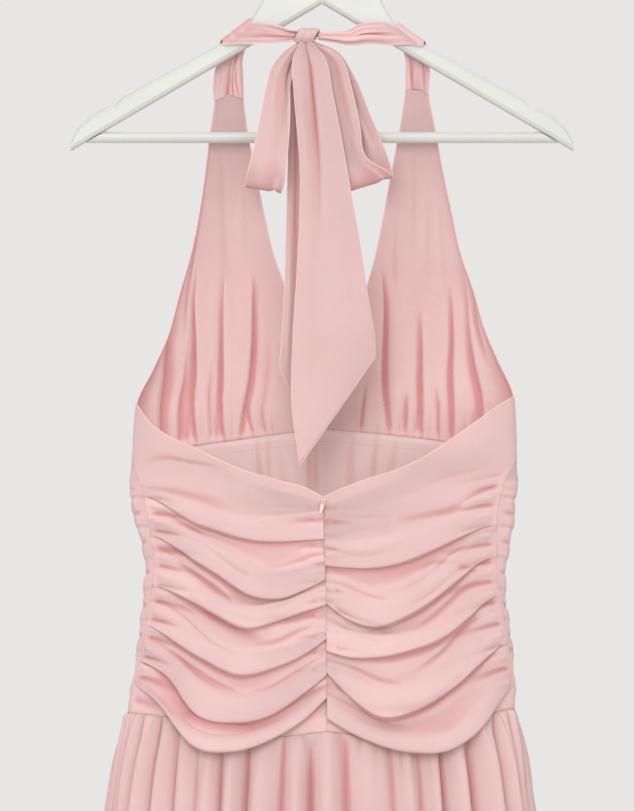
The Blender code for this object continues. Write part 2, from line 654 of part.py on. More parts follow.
def strap_rows(up, over, down, side):
    """A strap's table, with the rows that lie over the arm's rounded top put between those before and after."""
    outer_far, inner_far, outer_near, inner_near = over
    reach = HANGER_THICKNESS / 2 + SEAM_GAP + HALF_CLOTH + 0.0004
    lift = HANGER_EDGE_RADIUS + (SEAM_GAP + HALF_CLOTH) * STRAP_LIFT
    rows = []
    for turn in np.radians((-25, 0, 35, 65, 90, 115, 145, 180, 205)):
        share = (1 - np.cos(np.clip(turn, 0, np.pi))) / 2
        outer = outer_far * (1 - share) + outer_near * share
        inner = inner_far * (1 - share) + inner_near * share
        y = reach * np.cos(np.clip(turn, 0, np.pi))
        rise = lift * np.sin(turn) - HANGER_EDGE_RADIUS
        drops = [float(arm_top(out)) - rise for out in (outer, inner)]
        rows.append(Strip(side * outer, drops[0], y, side * inner, drops[1], y, 0.0))
    return (*up, *rows, *down)


def build_straps(collection):
    """Both halter straps: up behind the arm, over it, and forward to the knot."""
    for name, side, up, down in (
        ("left", -1, LEFT_STRAP_UP, LEFT_STRAP_DOWN),
        ("right", 1, RIGHT_STRAP_UP, RIGHT_STRAP_DOWN),
    ):
        rows = strap_rows(up, STRAP_OVER_ARM[name], down, side)
        cloth(collection, f"strap_{name}", ribbon(rows, STRAP_COLUMNS, 2.0))


def build_bow(collection):
    """The bow: a knot, two loops and two tails."""
    bpy.ops.mesh.primitive_uv_sphere_add(segments=16, ring_count=8, radius=1.0)
    knot = bpy.context.object
    knot.name = knot.data.name = "bow_knot"
    for held in list(knot.users_collection):
        held.objects.unlink(knot)
    collection.objects.link(knot)
    knot.data.transform(Matrix.Translation(KNOT_CENTRE) @ Matrix.Diagonal((*KNOT_HALF_SIZE, 1.0)))
    knot.data.shade_smooth()
    knot.data.materials.append(material("bow_knot", PINK_CLOTH))
    cloth(collection, "bow_loop_left", ribbon(eased_along(LEFT_LOOP, 17), STRAP_COLUMNS, 1.5))
    cloth(collection, "bow_loop_right", ribbon(eased_along(RIGHT_LOOP, 17), STRAP_COLUMNS, 1.5))
    cloth(collection, "bow_tail_front", ribbon(eased_along(FRONT_TAIL, 12), TAIL_COLUMNS, 2.0))
    cloth(collection, "bow_tail_back", ribbon(eased_along(BACK_TAIL, 10), STRAP_COLUMNS, 1.5))


def build_cup(collection, name, rows, gathers):
    """A bust cup: swelling towards the front, with gathers rising from its seam."""
    table = np.array(rows)
    middles = (table[:, [0, 1, 2]] + table[:, [3, 4, 5]]) / 2
    length = np.concatenate([[0], np.cumsum(np.linalg.norm(np.diff(middles, axis=0), axis=1))])
    length /= length[-1]
    down = np.concatenate([np.linspace(0, 0.97, 11), [1.0]])
    read = through(down, length, table)[:, None, :]
    across = eased(CUP_COLUMNS)[None, :]
    arm_x, arm_drop, arm_y, neck_x, neck_drop, neck_y, round_out, swell = np.moveaxis(read, 2, 0)
    x = arm_x * (1 - across) + neck_x * across
    drop = arm_drop * (1 - across) + neck_drop * across
    seam = through(across, [row.share for row in UNDERBUST], [getattr(row, name) for row in UNDERBUST])
    level = seam[:, [0]] * (1 - across) + seam[:, [-1]] * across
    drop = drop + (seam - level - CROSS_SEAM_SIDE) * down[:, None] ** 3
    y = arm_y * (1 - across) + neck_y * across
    y = y + round_out * (np.sqrt(1 - (1 - across) ** 2) - across) + swell * np.sin(np.pi * across)
    points = np.stack([x, y, -drop], axis=2)
    push = np.zeros_like(x)
    for fold in gathers:
        shape = np.exp(-(((across - fold.across) / fold.width) ** 2))
        rise = np.clip((down[:, None] - 1 + fold.reach) / fold.reach, 0, 1)
        push += fold.depth * shape * rise * np.clip((1 - down[:, None]) / 0.04, 0.25, 1)
    points[..., 1] += push
    cloth(collection, f"cup_{name}", points)


def ring_points(drop, turn, levels=LEVELS):
    """Points of the midriff at a drop and a turn: -90 the back's middle, 0 the left, 90 the front, 180 the right."""
    read = through(drop, [row.drop for row in levels], np.array(levels))
    edge = np.where(np.cos(turn) > 0, -read[..., 1] - read[..., 3], read[..., 5] - read[..., 3])
    x = read[..., 3] + edge * np.abs(np.cos(turn))
    y = np.where(np.sin(turn) > 0, read[..., 6], read[..., 7]) * np.sin(turn)
    return np.stack([x, y, -drop], axis=-1)


def seam_turn(drop, side, shift=0.0):
    """How far behind the widest point the side seam sits, as a turn, and a shift of its edge along the ring."""
    read = through(drop, [row.drop for row in LEVELS], np.array(LEVELS))
    edge, turn = (read[..., 1], read[..., 2]) if side == "left" else (read[..., 5], read[..., 4])
    turn = np.radians(turn)
    return turn + shift / np.hypot(edge * np.sin(turn), read[..., 7] * np.cos(turn))


def edge_drop(rows, share, side):
    """The drop of an edge at a share of the way from side seam to middle."""
    return through(share, [row.share for row in rows], [getattr(row, side) for row in rows])


def drape_rows(drapes, top, share):
    """Drops and reaches out down a draped panel, a pair of arrays for each row, from below its top edge."""
    places = (0.0, 0.25, 0.5, 0.75, 1.0)
    rows = []
    valley = top + 0.012
    for drape in drapes:
        lip = through(share, places, drape[:5])
        out = through(share, (0.0, 0.5, 1.0), drape[5:])
        for phase in DRAPE_SECTION:
            rows.append((valley + (lip - valley) * phase.down, out * phase.out))
        valley = lip - TUCK * out
    return rows


def outwards(points, out, turn):
    """Points moved out from the midriff's own ring, at right angles to it."""
    read = through(-points[..., 2], [row.drop for row in LEVELS], np.array(LEVELS))
    wide = (read[..., 1] + read[..., 5]) / 2
    deep = np.where(np.sin(turn) > 0, read[..., 6], read[..., 7])
    normal = np.stack([-np.cos(turn) * deep, np.sin(turn) * wide, np.zeros_like(deep)], axis=-1)
    normal /= np.linalg.norm(normal, axis=-1, keepdims=True)
    return points + normal * out[..., None]


def panel_turn(drop, share, side):
    """The turn of a back panel's point, from its side seam to the zip."""
    seam = -seam_turn(drop, side, SEAM_SIDE)
    turn = seam + (-np.pi / 2 - seam) * share
    return turn if side == "left" else np.pi - turn


def build_back_panel(collection, name, drapes):
    """A back panel: plain along its top, then draped folds, the last one hanging free over the waist seam."""
    column = eased(COLUMNS)
    share = 1 - np.cos(column * np.pi / 2)
    top = edge_drop(BACK_TOP, share, name)
    waist = edge_drop(BACK_WAIST, share, name) - SEAM_SIDE
    flat = np.zeros_like(share)
    rows = [(top, flat), (top + 0.006, flat), *drape_rows(drapes, top, share)]
    last_out = through(share, (0.0, 0.5, 1.0), drapes[-1][5:])
    inside = np.minimum(rows[-1][0], waist)
    rows.append((inside - 0.0040, last_out * 0.16))
    rows.append((np.maximum(inside - 0.0018, waist - 0.0018), flat))
    rows.append((waist, flat))
    drop = np.array([row[0] for row in rows])
    out = np.array([row[1] for row in rows])
    turn = panel_turn(drop, column[None, :], name)
    points = outwards(ring_points(drop, turn), out, turn)
    side = -1 if name == "left" else 1
    points[:, -1, 0] += side * SEAM_SIDE
    cloth(collection, f"back_panel_{name}", points if name == "left" else points[:, ::-1])


def build_front(collection):
    """The front midriff: draped folds outside, on a plain inside."""
    column = eased(FRONT_COLUMNS)
    half = 1 - np.abs(2 * column - 1)
    share = 1 - np.cos(half * np.pi / 2)
    left = column <= 0.5
    top = np.where(left, edge_drop(UNDERBUST, share, "left"), edge_drop(UNDERBUST, share, "right")) + CROSS_SEAM_SIDE
    waist = np.where(left, edge_drop(FRONT_WAIST, share, "left"), edge_drop(FRONT_WAIST, share, "right")) - SEAM_SIDE
    flat = np.zeros_like(share)
    rows = [(top, flat), (top + 0.006, flat), *drape_rows(FRONT_DRAPES, top, share)]
    rows += [(waist - 0.003, flat), (waist, flat)]
    drop = np.array([row[0] for row in rows])
    out = np.array([row[1] for row in rows])
    start = -seam_turn(drop, "left", -SEAM_SIDE)
    end = np.pi + seam_turn(drop, "right", -SEAM_SIDE)
    turn = start + (end - start) * column[None, :]
    base = ring_points(drop, turn)
    outer = outwards(base, out + HALF_CLOTH, turn)
    inner = outwards(base, flat - HALF_CLOTH + np.zeros_like(out), turn)
    layered(collection, "bodice_front", outer[:, ::-1], inner[:, ::-1])


def pleat_columns(pleats):
    """Places across a half skirt, with the fold's height there: hollows and crests turn by turn."""
    count = (len(pleats) - 1) * COLUMNS_A_FOLD + 1
    phase = np.linspace(0, len(pleats) - 1, count)
    number = np.arange(len(pleats))
    share = np.interp(phase, number, [row.share for row in pleats])
    depth = np.interp(phase, number, [row.depth for row in pleats])
    height = depth * (0.5 - 0.5 * np.cos(2 * np.pi * phase)) - 0.35
    height[[0, -1]] = 0
    return share, height


def build_skirt(collection, name, pleats, waist_rows):
    """Half the gathered skirt: folds that hang from the waist seam and widen to the hem."""
    column, height = pleat_columns(pleats)
    front = name == "front"
    left = column <= 0.5
    half = 1 - np.abs(2 * column - 1)
    share = 1 - np.cos(half * np.pi / 2)
    waist = np.where(left, edge_drop(waist_rows, share, "left"), edge_drop(waist_rows, share, "right")) + SEAM_SIDE
    shift = -SEAM_SIDE if front else SEAM_SIDE
    starts = (seam_turn(waist[:1], "left", shift)[0], seam_turn(waist[-1:], "right", shift)[0])
    if front:
        turn = -starts[0] + (np.pi + starts[0] + starts[1]) * column
    else:
        turn = -starts[0] - (np.pi - starts[0] - starts[1]) * column
    rows = []
    for level in SKIRT:
        reach = level.below / SKIRT[-1].below
        drop = waist + (HEM_DROP - waist) * reach
        ring = ring_points(waist, turn)
        ring[:, 0] -= np.cos(turn) * level.spread_x
        ring[:, 1] += np.sin(turn) * level.spread_y
        ring[:, 2] = -drop
        ring[:, 0] -= np.cos(turn) * level.fold * height
        ring[:, 1] += np.sin(turn) * level.fold * height
        rows.append(ring)
    points = np.array(rows)
    cloth(collection, f"skirt_{name}", points[:, ::-1] if front else points)


def zip_line(drop):
    """The zip's place on the back: its points, at the given drops, down the midriff's middle."""
    return ring_points(drop, np.full_like(drop, -np.pi / 2))


def build_zip(collection):
    """The zip: a tape behind the panels' edges, a slider at its top and a pull tab that swings from it."""
    drop = np.linspace(BACK_TOP[-1].left + 0.001, BACK_WAIST[-1].left - 0.002, 14)
    line = zip_line(drop)
    line[:, 1] += HALF_CLOTH + 1.4 * SEAM_GAP + ZIP_TAPE_THICKNESS / 2
    across = np.array([-0.5, 0.0, 0.5]) * ZIP_TAPE_WIDTH
    points = line[:, None, :] + across[None, :, None] * np.array([1.0, 0.0, 0.0])
    tape = cloth(collection, "zip_tape", points)
    tape.modifiers["wall"].thickness = ZIP_TAPE_THICKNESS
    slider_drop = BACK_TOP[-1].left + SLIDER_SIZE[2] / 2 + 0.0005
    seat = zip_line(np.array([slider_drop]))[0]
    face = seat[1] - HALF_CLOTH - SEAM_GAP - 0.0004
    rounded_box(collection, "zip_slider", SLIDER_SIZE, (seat[0], face - SLIDER_SIZE[1] / 2, seat[2]), 0.0008)
    pin_y = face - SLIDER_SIZE[1] - SEAM_GAP - PULL_THICKNESS / 2
    pull = rounded_box(
        collection, "zip_pull", (PULL_WIDTH, PULL_THICKNESS, PULL_LENGTH), (0, 0, -PULL_LENGTH / 2), 0.0004
    )
    pull.data.transform(Matrix.Rotation(np.radians(PULL_LEAN), 4, "Y"))
    pull.location = (seat[0], pin_y, seat[2] + 0.001)


def rounded_box(collection, name, size, middle, radius):
    """A box with its edges rounded."""
    bpy.ops.mesh.primitive_cube_add(size=1.0)
    box = bpy.context.object
    box.name = box.data.name = name
    for held in list(box.users_collection):
        held.objects.unlink(box)
    collection.objects.link(box)
    box.data.transform(Matrix.Translation(middle) @ Matrix.Diagonal((*size, 1.0)))
    box.data.materials.append(material(name, PALE_ZIP))
    round_off = box.modifiers.new("edges", "BEVEL")
    round_off.width = radius
    round_off.segments = 2
    box.data.shade_smooth()
    return box


def main():
    clear_scene()
    dress = new_collection("halter_dress")
    build_arm(dress, "hanger_arm_left", -1)
    build_arm(dress, "hanger_arm_right", 1)
    build_bar(dress)
    build_hook(dress)
    build_straps(dress)
    build_bow(dress)
    build_cup(dress, "left", LEFT_CUP, LEFT_GATHERS)
    build_cup(dress, "right", RIGHT_CUP, RIGHT_GATHERS)
    build_front(dress)
    build_back_panel(dress, "left", LEFT_DRAPES)
    build_back_panel(dress, "right", RIGHT_DRAPES)
    build_skirt(dress, "front", FRONT_PLEATS, FRONT_WAIST)
    build_skirt(dress, "back", BACK_PLEATS, BACK_WAIST)
    build_zip(dress)


main()
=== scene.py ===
"""Pink halter dress of thin gathered chiffon, hanging by its tied straps from a white wooden hanger.

Units are metres, +Z is up and the dress's back faces -Y. The origin is the inner crown of the hanger's hook.
Heights in the tables are drops below that point. Left and right are those of someone who looks at the back.
"""

import logging
from dataclasses import dataclass, field
from enum import Enum
from typing import NamedTuple, Sequence

import bpy
import numpy as np
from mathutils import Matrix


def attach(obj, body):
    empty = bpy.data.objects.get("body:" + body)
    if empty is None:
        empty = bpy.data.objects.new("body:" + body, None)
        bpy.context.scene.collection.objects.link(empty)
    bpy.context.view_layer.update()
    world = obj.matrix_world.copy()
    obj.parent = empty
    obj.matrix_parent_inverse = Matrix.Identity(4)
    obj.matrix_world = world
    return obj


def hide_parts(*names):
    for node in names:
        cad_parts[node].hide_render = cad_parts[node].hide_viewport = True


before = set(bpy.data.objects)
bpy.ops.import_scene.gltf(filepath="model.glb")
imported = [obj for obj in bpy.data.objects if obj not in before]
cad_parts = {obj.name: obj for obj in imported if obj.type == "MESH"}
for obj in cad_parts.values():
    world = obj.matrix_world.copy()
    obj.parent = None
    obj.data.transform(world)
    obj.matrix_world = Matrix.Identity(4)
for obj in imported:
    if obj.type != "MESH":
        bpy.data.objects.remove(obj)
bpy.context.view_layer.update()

LOG = logging.getLogger("halter_dress")
Array = np.ndarray

DRESS = "dress_on_hanger"
PULL = "zip_pull"

CLOTH_WALL = 0.0007
SEAM_SIDE = 0.00005
CROSS_SEAM_SIDE = 0.00005
HANGER_THICKNESS = 0.014
HANGER_EDGE_RADIUS = 0.0045
STRAP_CLEARANCE = 0.0013
STRAP_LIFT = 0.00342
HEM_DROP = 1.530
# How far round each point the fold hollows for the painted shade are measured, and the depth that counts as a full
# hollow.
HOLLOW_REACHES = (0.006, 0.016)
HOLLOW_SHARE = 0.23
# The seam between a cup and its strap is a shallow arc, which dies away over these shares of the two.
STRAP_SEAM_ARC = {"left": 0.0055, "right": 0.0035}
ARC_SHARE = 0.12
CUP_ARC_SHARE = 0.06



class ArmSection(NamedTuple):
    """A cut through half the hanger: distance from its middle, and drops of its top and its underside."""

    out: float
    top: float
    bottom: float


ARM = (
    ArmSection(0.0003, 0.0756, 0.1200),
    ArmSection(0.0160, 0.0764, 0.1293),
    ArmSection(0.0300, 0.0805, 0.1378),
    ArmSection(0.0430, 0.0955, 0.1455),
    ArmSection(0.0530, 0.1180, 0.1513),
    ArmSection(0.0620, 0.1335, 0.1566),
    ArmSection(0.0740, 0.1446, 0.1636),
    ArmSection(0.0900, 0.1558, 0.1730),
    ArmSection(0.1180, 0.1708, 0.1893),
    ArmSection(0.1514, 0.1892, 0.2089),
    ArmSection(0.1760, 0.2030, 0.2233),
    ArmSection(0.1830, 0.2093, 0.2274),
    ArmSection(0.1890, 0.2106, 0.2309),
    ArmSection(0.2033, 0.2190, 0.2393),
    ArmSection(0.2130, 0.2272, 0.2450),
    ArmSection(0.2180, 0.2345, 0.2480),
    ArmSection(0.2215, 0.2430, 0.2500),
)


class Strip(NamedTuple):
    """A cut across a ribbon of cloth: its outer edge, its inner edge, and how deep it is folded there."""

    outer_x: float
    outer_drop: float
    outer_y: float
    inner_x: float
    inner_drop: float
    inner_y: float
    fold: float


# Each strap goes up from its cup on the far side of the arm. The rows over the arm are worked out from its section.
LEFT_STRAP_UP = (
    Strip(-0.0950, 0.2064, 0.0136, -0.0695, 0.2046, 0.0136, 0.0016),
    Strip(-0.0959, 0.1937, 0.0118, -0.0698, 0.1866, 0.0118, 0.0012),
    Strip(-0.0950, 0.1814, 0.0106, -0.0704, 0.1700, 0.0106, 0.0006),
)
LEFT_STRAP_DOWN = (
    Strip(-0.0757, 0.1562, -0.0098, -0.0528, 0.1375, -0.0098, 0.0000),
    Strip(-0.0510, 0.1558, -0.0122, -0.0370, 0.1409, -0.0122, 0.0010),
    Strip(-0.0352, 0.1552, -0.0155, -0.0290, 0.1444, -0.0155, 0.0016),
    Strip(-0.0234, 0.1535, -0.0190, -0.0232, 0.1455, -0.0190, 0.0016),
)
RIGHT_STRAP_UP = (
    Strip(0.0942, 0.1994, 0.0136, 0.0739, 0.1967, 0.0136, 0.0014),
    Strip(0.0950, 0.1884, 0.0118, 0.0739, 0.1822, 0.0118, 0.0012),
    Strip(0.0955, 0.1796, 0.0106, 0.0739, 0.1690, 0.0106, 0.0006),
)
RIGHT_STRAP_DOWN = (
    Strip(0.0774, 0.1563, -0.0098, 0.0570, 0.1375, -0.0098, 0.0000),
    Strip(0.0598, 0.1567, -0.0115, 0.0450, 0.1372, -0.0115, 0.0008),
    Strip(0.0422, 0.1558, -0.0140, 0.0317, 0.1395, -0.0140, 0.0014),
    Strip(0.0246, 0.1572, -0.0162, 0.0229, 0.1448, -0.0162, 0.0018),
    Strip(0.0097, 0.1550, -0.0182, 0.0097, 0.1458, -0.0182, 0.0016),
    Strip(-0.0036, 0.1528, -0.0196, -0.0038, 0.1468, -0.0196, 0.0012),
)
# Where each strap meets the arm, as distances from the middle on its far and near face.
STRAP_OVER_ARM = {"left": (0.0906, 0.0655, 0.0868, 0.0625), "right": (0.0924, 0.0695, 0.0889, 0.0662)}

KNOT_CENTRE = (-0.0136, -0.0205, -0.1490)


LEFT_LOOP = (
    Strip(-0.0200, 0.1550, -0.0205, -0.0145, 0.1560, -0.0210, 0.0000),
    Strip(-0.0334, 0.1638, -0.0240, -0.0211, 0.1726, -0.0225, 0.0008),
    Strip(-0.0440, 0.1778, -0.0300, -0.0268, 0.1884, -0.0260, 0.0016),
    Strip(-0.0493, 0.1972, -0.0340, -0.0279, 0.2095, -0.0320, 0.0018),
    Strip(-0.0546, 0.2236, -0.0360, -0.0285, 0.2306, -0.0350, 0.0018),
    Strip(-0.0598, 0.2500, -0.0365, -0.0302, 0.2518, -0.0360, 0.0014),
    Strip(-0.0660, 0.2746, -0.0340, -0.0334, 0.2782, -0.0345, 0.0010),
    Strip(-0.0672, 0.2834, -0.0275, -0.0361, 0.2887, -0.0280, 0.0004),
    Strip(-0.0645, 0.2785, -0.0215, -0.0343, 0.2830, -0.0215, 0.0004),
    Strip(-0.0581, 0.2500, -0.0195, -0.0302, 0.2500, -0.0190, 0.0008),
    Strip(-0.0510, 0.2148, -0.0190, -0.0280, 0.2148, -0.0180, 0.0008),
    Strip(-0.0414, 0.1840, -0.0185, -0.0262, 0.1850, -0.0180, 0.0006),
    Strip(-0.0205, 0.1548, -0.0172, -0.0150, 0.1556, -0.0176, 0.0000),
)
RIGHT_LOOP = (
    Strip(-0.0070, 0.1550, -0.0205, -0.0120, 0.1561, -0.0210, 0.0000),
    Strip(0.0158, 0.1690, -0.0245, 0.0000, 0.1743, -0.0230, 0.0008),
    Strip(0.0255, 0.1954, -0.0295, 0.0044, 0.2016, -0.0245, 0.0014),
    Strip(0.0326, 0.2280, -0.0320, 0.0097, 0.2324, -0.0245, 0.0014),
    Strip(0.0396, 0.2588, -0.0330, 0.0167, 0.2632, -0.0245, 0.0012),
    Strip(0.0590, 0.2715, -0.0320, 0.0236, 0.2822, -0.0250, 0.0008),
    Strip(0.0625, 0.2755, -0.0265, 0.0246, 0.2868, -0.0220, 0.0004),
    Strip(0.0616, 0.2694, -0.0215, 0.0238, 0.2815, -0.0190, 0.0004),
    Strip(0.0528, 0.2438, -0.0205, 0.0194, 0.2500, -0.0180, 0.0008),
    Strip(0.0414, 0.2166, -0.0205, 0.0132, 0.2148, -0.0175, 0.0008),
    Strip(0.0299, 0.1884, -0.0200, 0.0085, 0.1890, -0.0175, 0.0006),
    Strip(0.0158, 0.1655, -0.0185, 0.0045, 0.1720, -0.0175, 0.0004),
    Strip(-0.0065, 0.1546, -0.0172, -0.0118, 0.1557, -0.0176, 0.0000),
)
FRONT_TAIL = (
    Strip(-0.0196, 0.1553, -0.0240, -0.0080, 0.1553, -0.0240, 0.0003),
    Strip(-0.0255, 0.1708, -0.0300, 0.0026, 0.1708, -0.0300, 0.0018),
    Strip(-0.0246, 0.1998, -0.0322, 0.0088, 0.1998, -0.0322, 0.0032),
    Strip(-0.0220, 0.2306, -0.0328, 0.0150, 0.2306, -0.0328, 0.0034),
    Strip(-0.0194, 0.2632, -0.0328, 0.0202, 0.2588, -0.0328, 0.0030),
    Strip(-0.0194, 0.3046, -0.0320, 0.0264, 0.2940, -0.0320, 0.0026),
    Strip(-0.0220, 0.3600, -0.0305, 0.0334, 0.3336, -0.0305, 0.0024),
    Strip(-0.0255, 0.4172, -0.0290, 0.0405, 0.3820, -0.0290, 0.0022),
    Strip(-0.0264, 0.4744, -0.0280, 0.0458, 0.4128, -0.0280, 0.0018),
    Strip(-0.0194, 0.5281, -0.0275, 0.0466, 0.4330, -0.0275, 0.0014),
)
BACK_TAIL = (
    Strip(-0.0180, 0.1545, -0.0148, -0.0092, 0.1545, -0.0148, 0.0000),
    Strip(-0.0264, 0.1884, -0.0125, -0.0070, 0.1884, -0.0125, 0.0008),
    Strip(-0.0290, 0.2324, -0.0122, -0.0026, 0.2280, -0.0122, 0.0010),
    Strip(-0.0299, 0.2658, -0.0125, 0.0000, 0.2658, -0.0125, 0.0012),
    Strip(-0.0317, 0.3257, -0.0140, 0.0035, 0.3257, -0.0140, 0.0016),
    Strip(-0.0334, 0.3820, -0.0150, 0.0053, 0.3820, -0.0150, 0.0018),
    Strip(-0.0361, 0.4260, -0.0155, 0.0070, 0.4304, -0.0155, 0.0016),
    Strip(-0.0365, 0.4420, -0.0158, 0.0079, 0.4656, -0.0158, 0.0014),
    Strip(-0.0273, 0.4621, -0.0160, -0.0035, 0.4920, -0.0160, 0.0012),
)


class CupRow(NamedTuple):
    """A row across a cup: its armhole edge, its neck edge, and how far it swells towards the front."""

    arm_x: float
    arm_drop: float
    arm_y: float
    neck_x: float
    neck_drop: float
    neck_y: float
    round_out: float
    swell: float


LEFT_CUP = (
    CupRow(-0.0950, 0.2062, 0.0125, -0.0695, 0.2044, 0.0125, 0.0010, 0.0000),
    CupRow(-0.0986, 0.2324, 0.0140, -0.0660, 0.2324, 0.0140, 0.0025, 0.0010),
    CupRow(-0.1021, 0.2597, 0.0155, -0.0607, 0.2597, 0.0160, 0.0050, 0.0020),
    CupRow(-0.1082, 0.3019, 0.0160, -0.0519, 0.3019, 0.0190, 0.0090, 0.0040),
    CupRow(-0.1162, 0.3415, 0.0150, -0.0427, 0.3415, 0.0225, 0.0130, 0.0070),
    CupRow(-0.1258, 0.3750, 0.0130, -0.0308, 0.3750, 0.0265, 0.0170, 0.0090),
    CupRow(-0.1364, 0.4137, 0.0090, -0.0202, 0.4137, 0.0305, 0.0230, 0.0100),
    CupRow(-0.1496, 0.4436, 0.0050, -0.0132, 0.4454, 0.0335, 0.0290, 0.0080),
    CupRow(-0.1637, 0.4735, 0.0005, -0.0062, 0.4744, 0.0358, 0.0340, 0.0040),
    CupRow(-0.1668, 0.5184, -0.0012, -0.0005, 0.4946, 0.0370, 0.0370, 0.0000),
)
RIGHT_CUP = (
    CupRow(0.0942, 0.1992, 0.0125, 0.0739, 0.1965, 0.0125, 0.0010, 0.0000),
    CupRow(0.1003, 0.2315, 0.0140, 0.0686, 0.2315, 0.0140, 0.0025, 0.0010),
    CupRow(0.1056, 0.2597, 0.0155, 0.0634, 0.2597, 0.0160, 0.0050, 0.0020),
    CupRow(0.1144, 0.3019, 0.0160, 0.0554, 0.3019, 0.0190, 0.0090, 0.0040),
    CupRow(0.1232, 0.3415, 0.0150, 0.0475, 0.3415, 0.0225, 0.0130, 0.0070),
    CupRow(0.1338, 0.3723, 0.0130, 0.0387, 0.3732, 0.0262, 0.0170, 0.0090),
    CupRow(0.1443, 0.4084, 0.0090, 0.0264, 0.4137, 0.0303, 0.0230, 0.0100),
    CupRow(0.1558, 0.4357, 0.0050, 0.0167, 0.4454, 0.0335, 0.0290, 0.0080),
    CupRow(0.1690, 0.4665, 0.0005, 0.0070, 0.4735, 0.0358, 0.0340, 0.0040),
    CupRow(0.1712, 0.5184, -0.0014, 0.0005, 0.4946, 0.0370, 0.0370, 0.0000),
)

class Gather(NamedTuple):
    """A fold running up a cup from its seam: place from armhole edge to neck edge, width, depth and reach."""

    across: float
    width: float
    depth: float
    reach: float


LEFT_GATHERS = (
    Gather(0.12, 0.045, 0.0016, 0.25),
    Gather(0.22, 0.045, 0.0022, 0.55),
    Gather(0.32, 0.050, 0.0028, 0.60),
    Gather(0.42, 0.045, 0.0018, 0.25),
    Gather(0.50, 0.050, 0.0026, 0.65),
    Gather(0.60, 0.045, 0.0016, 0.30),
    Gather(0.70, 0.050, 0.0024, 0.60),
    Gather(0.84, 0.045, 0.0014, 0.30),
)
RIGHT_GATHERS = (
    Gather(0.10, 0.045, 0.0020, 0.35),
    Gather(0.20, 0.050, 0.0026, 0.55),
    Gather(0.31, 0.045, 0.0018, 0.40),
    Gather(0.41, 0.050, 0.0016, 0.25),
    Gather(0.52, 0.045, 0.0024, 0.40),
    Gather(0.62, 0.045, 0.0014, 0.25),
    Gather(0.72, 0.050, 0.0026, 0.65),
    Gather(0.85, 0.045, 0.0014, 0.20),
)


class Level(NamedTuple):
    """A level ring of the midriff. Each side seam sits some degrees behind the ring's widest point."""

    drop: float
    left_edge: float
    left_turn: float
    middle: float
    right_turn: float
    right_edge: float
    front_depth: float
    back_depth: float


LEVELS = (
    Level(0.4600, 0.1620, 0.0, 0.0000, 0.0, 0.1685, 0.0350, 0.0250),
    Level(0.4735, 0.1637, 0.5, 0.0000, 0.5, 0.1695, 0.0358, 0.0255),
    Level(0.5184, 0.1672, 5.0, 0.0005, 6.0, 0.1716, 0.0370, 0.0260),
    Level(0.5404, 0.1675, 16.0, 0.0008, 19.0, 0.1705, 0.0365, 0.0262),
    Level(0.5624, 0.1660, 20.5, 0.0011, 22.5, 0.1680, 0.0350, 0.0262),
    Level(0.5862, 0.1600, 18.9, 0.0016, 22.0, 0.1655, 0.0335, 0.0255),
    Level(0.6108, 0.1545, 17.0, 0.0025, 18.5, 0.1615, 0.0318, 0.0245),
    Level(0.6372, 0.1555, 15.5, 0.0035, 15.0, 0.1600, 0.0308, 0.0245),
    Level(0.6610, 0.1580, 13.7, 0.0037, 12.7, 0.1630, 0.0312, 0.0260),
    Level(0.6900, 0.1620, 11.5, 0.0039, 10.9, 0.1670, 0.0328, 0.0290),
    Level(0.7164, 0.1670, 9.8, 0.0041, 9.6, 0.1700, 0.0342, 0.0320),
    Level(0.7454, 0.1710, 8.0, 0.0043, 8.5, 0.1695, 0.0355, 0.0340),
    Level(0.7800, 0.1750, 8.0, 0.0045, 8.5, 0.1715, 0.0375, 0.0360),
)


class Edge(NamedTuple):
    """A drop along an edge: share of the way from the side seam to the middle, and the drops left and right."""

    share: float
    left: float
    right: float


BACK_TOP = (
    Edge(0.00, 0.4735, 0.4670),
    Edge(0.07, 0.4885, 0.4740),
    Edge(0.18, 0.5020, 0.4870),
    Edge(0.30, 0.5120, 0.5015),
    Edge(0.50, 0.5305, 0.5275),
    Edge(0.75, 0.5425, 0.5420),
    Edge(0.90, 0.5485, 0.5500),
    Edge(1.00, 0.5560, 0.5560),
)
UNDERBUST = (
    Edge(0.00, 0.5184, 0.5184),
    Edge(0.32, 0.5105, 0.5080),
    Edge(0.64, 0.5026, 0.5003),
    Edge(1.00, 0.4946, 0.4946),
)
BACK_WAIST = (
    Edge(0.00, 0.7454, 0.7420),
    Edge(0.25, 0.7507, 0.7530),
    Edge(0.50, 0.7604, 0.7625),
    Edge(0.75, 0.7650, 0.7640),
    Edge(1.00, 0.7613, 0.7613),
)
FRONT_WAIST = (
    Edge(0.00, 0.7454, 0.7420),
    Edge(0.50, 0.7560, 0.7560),
    Edge(1.00, 0.7600, 0.7600),
)


class Fold(NamedTuple):
    """A draped fold, read at STATIONS from side seam to middle: drops of its upper line and lip, and its reach out."""

    crest: tuple[float, ...]
    lip: tuple[float, ...]
    out: tuple[float, ...]


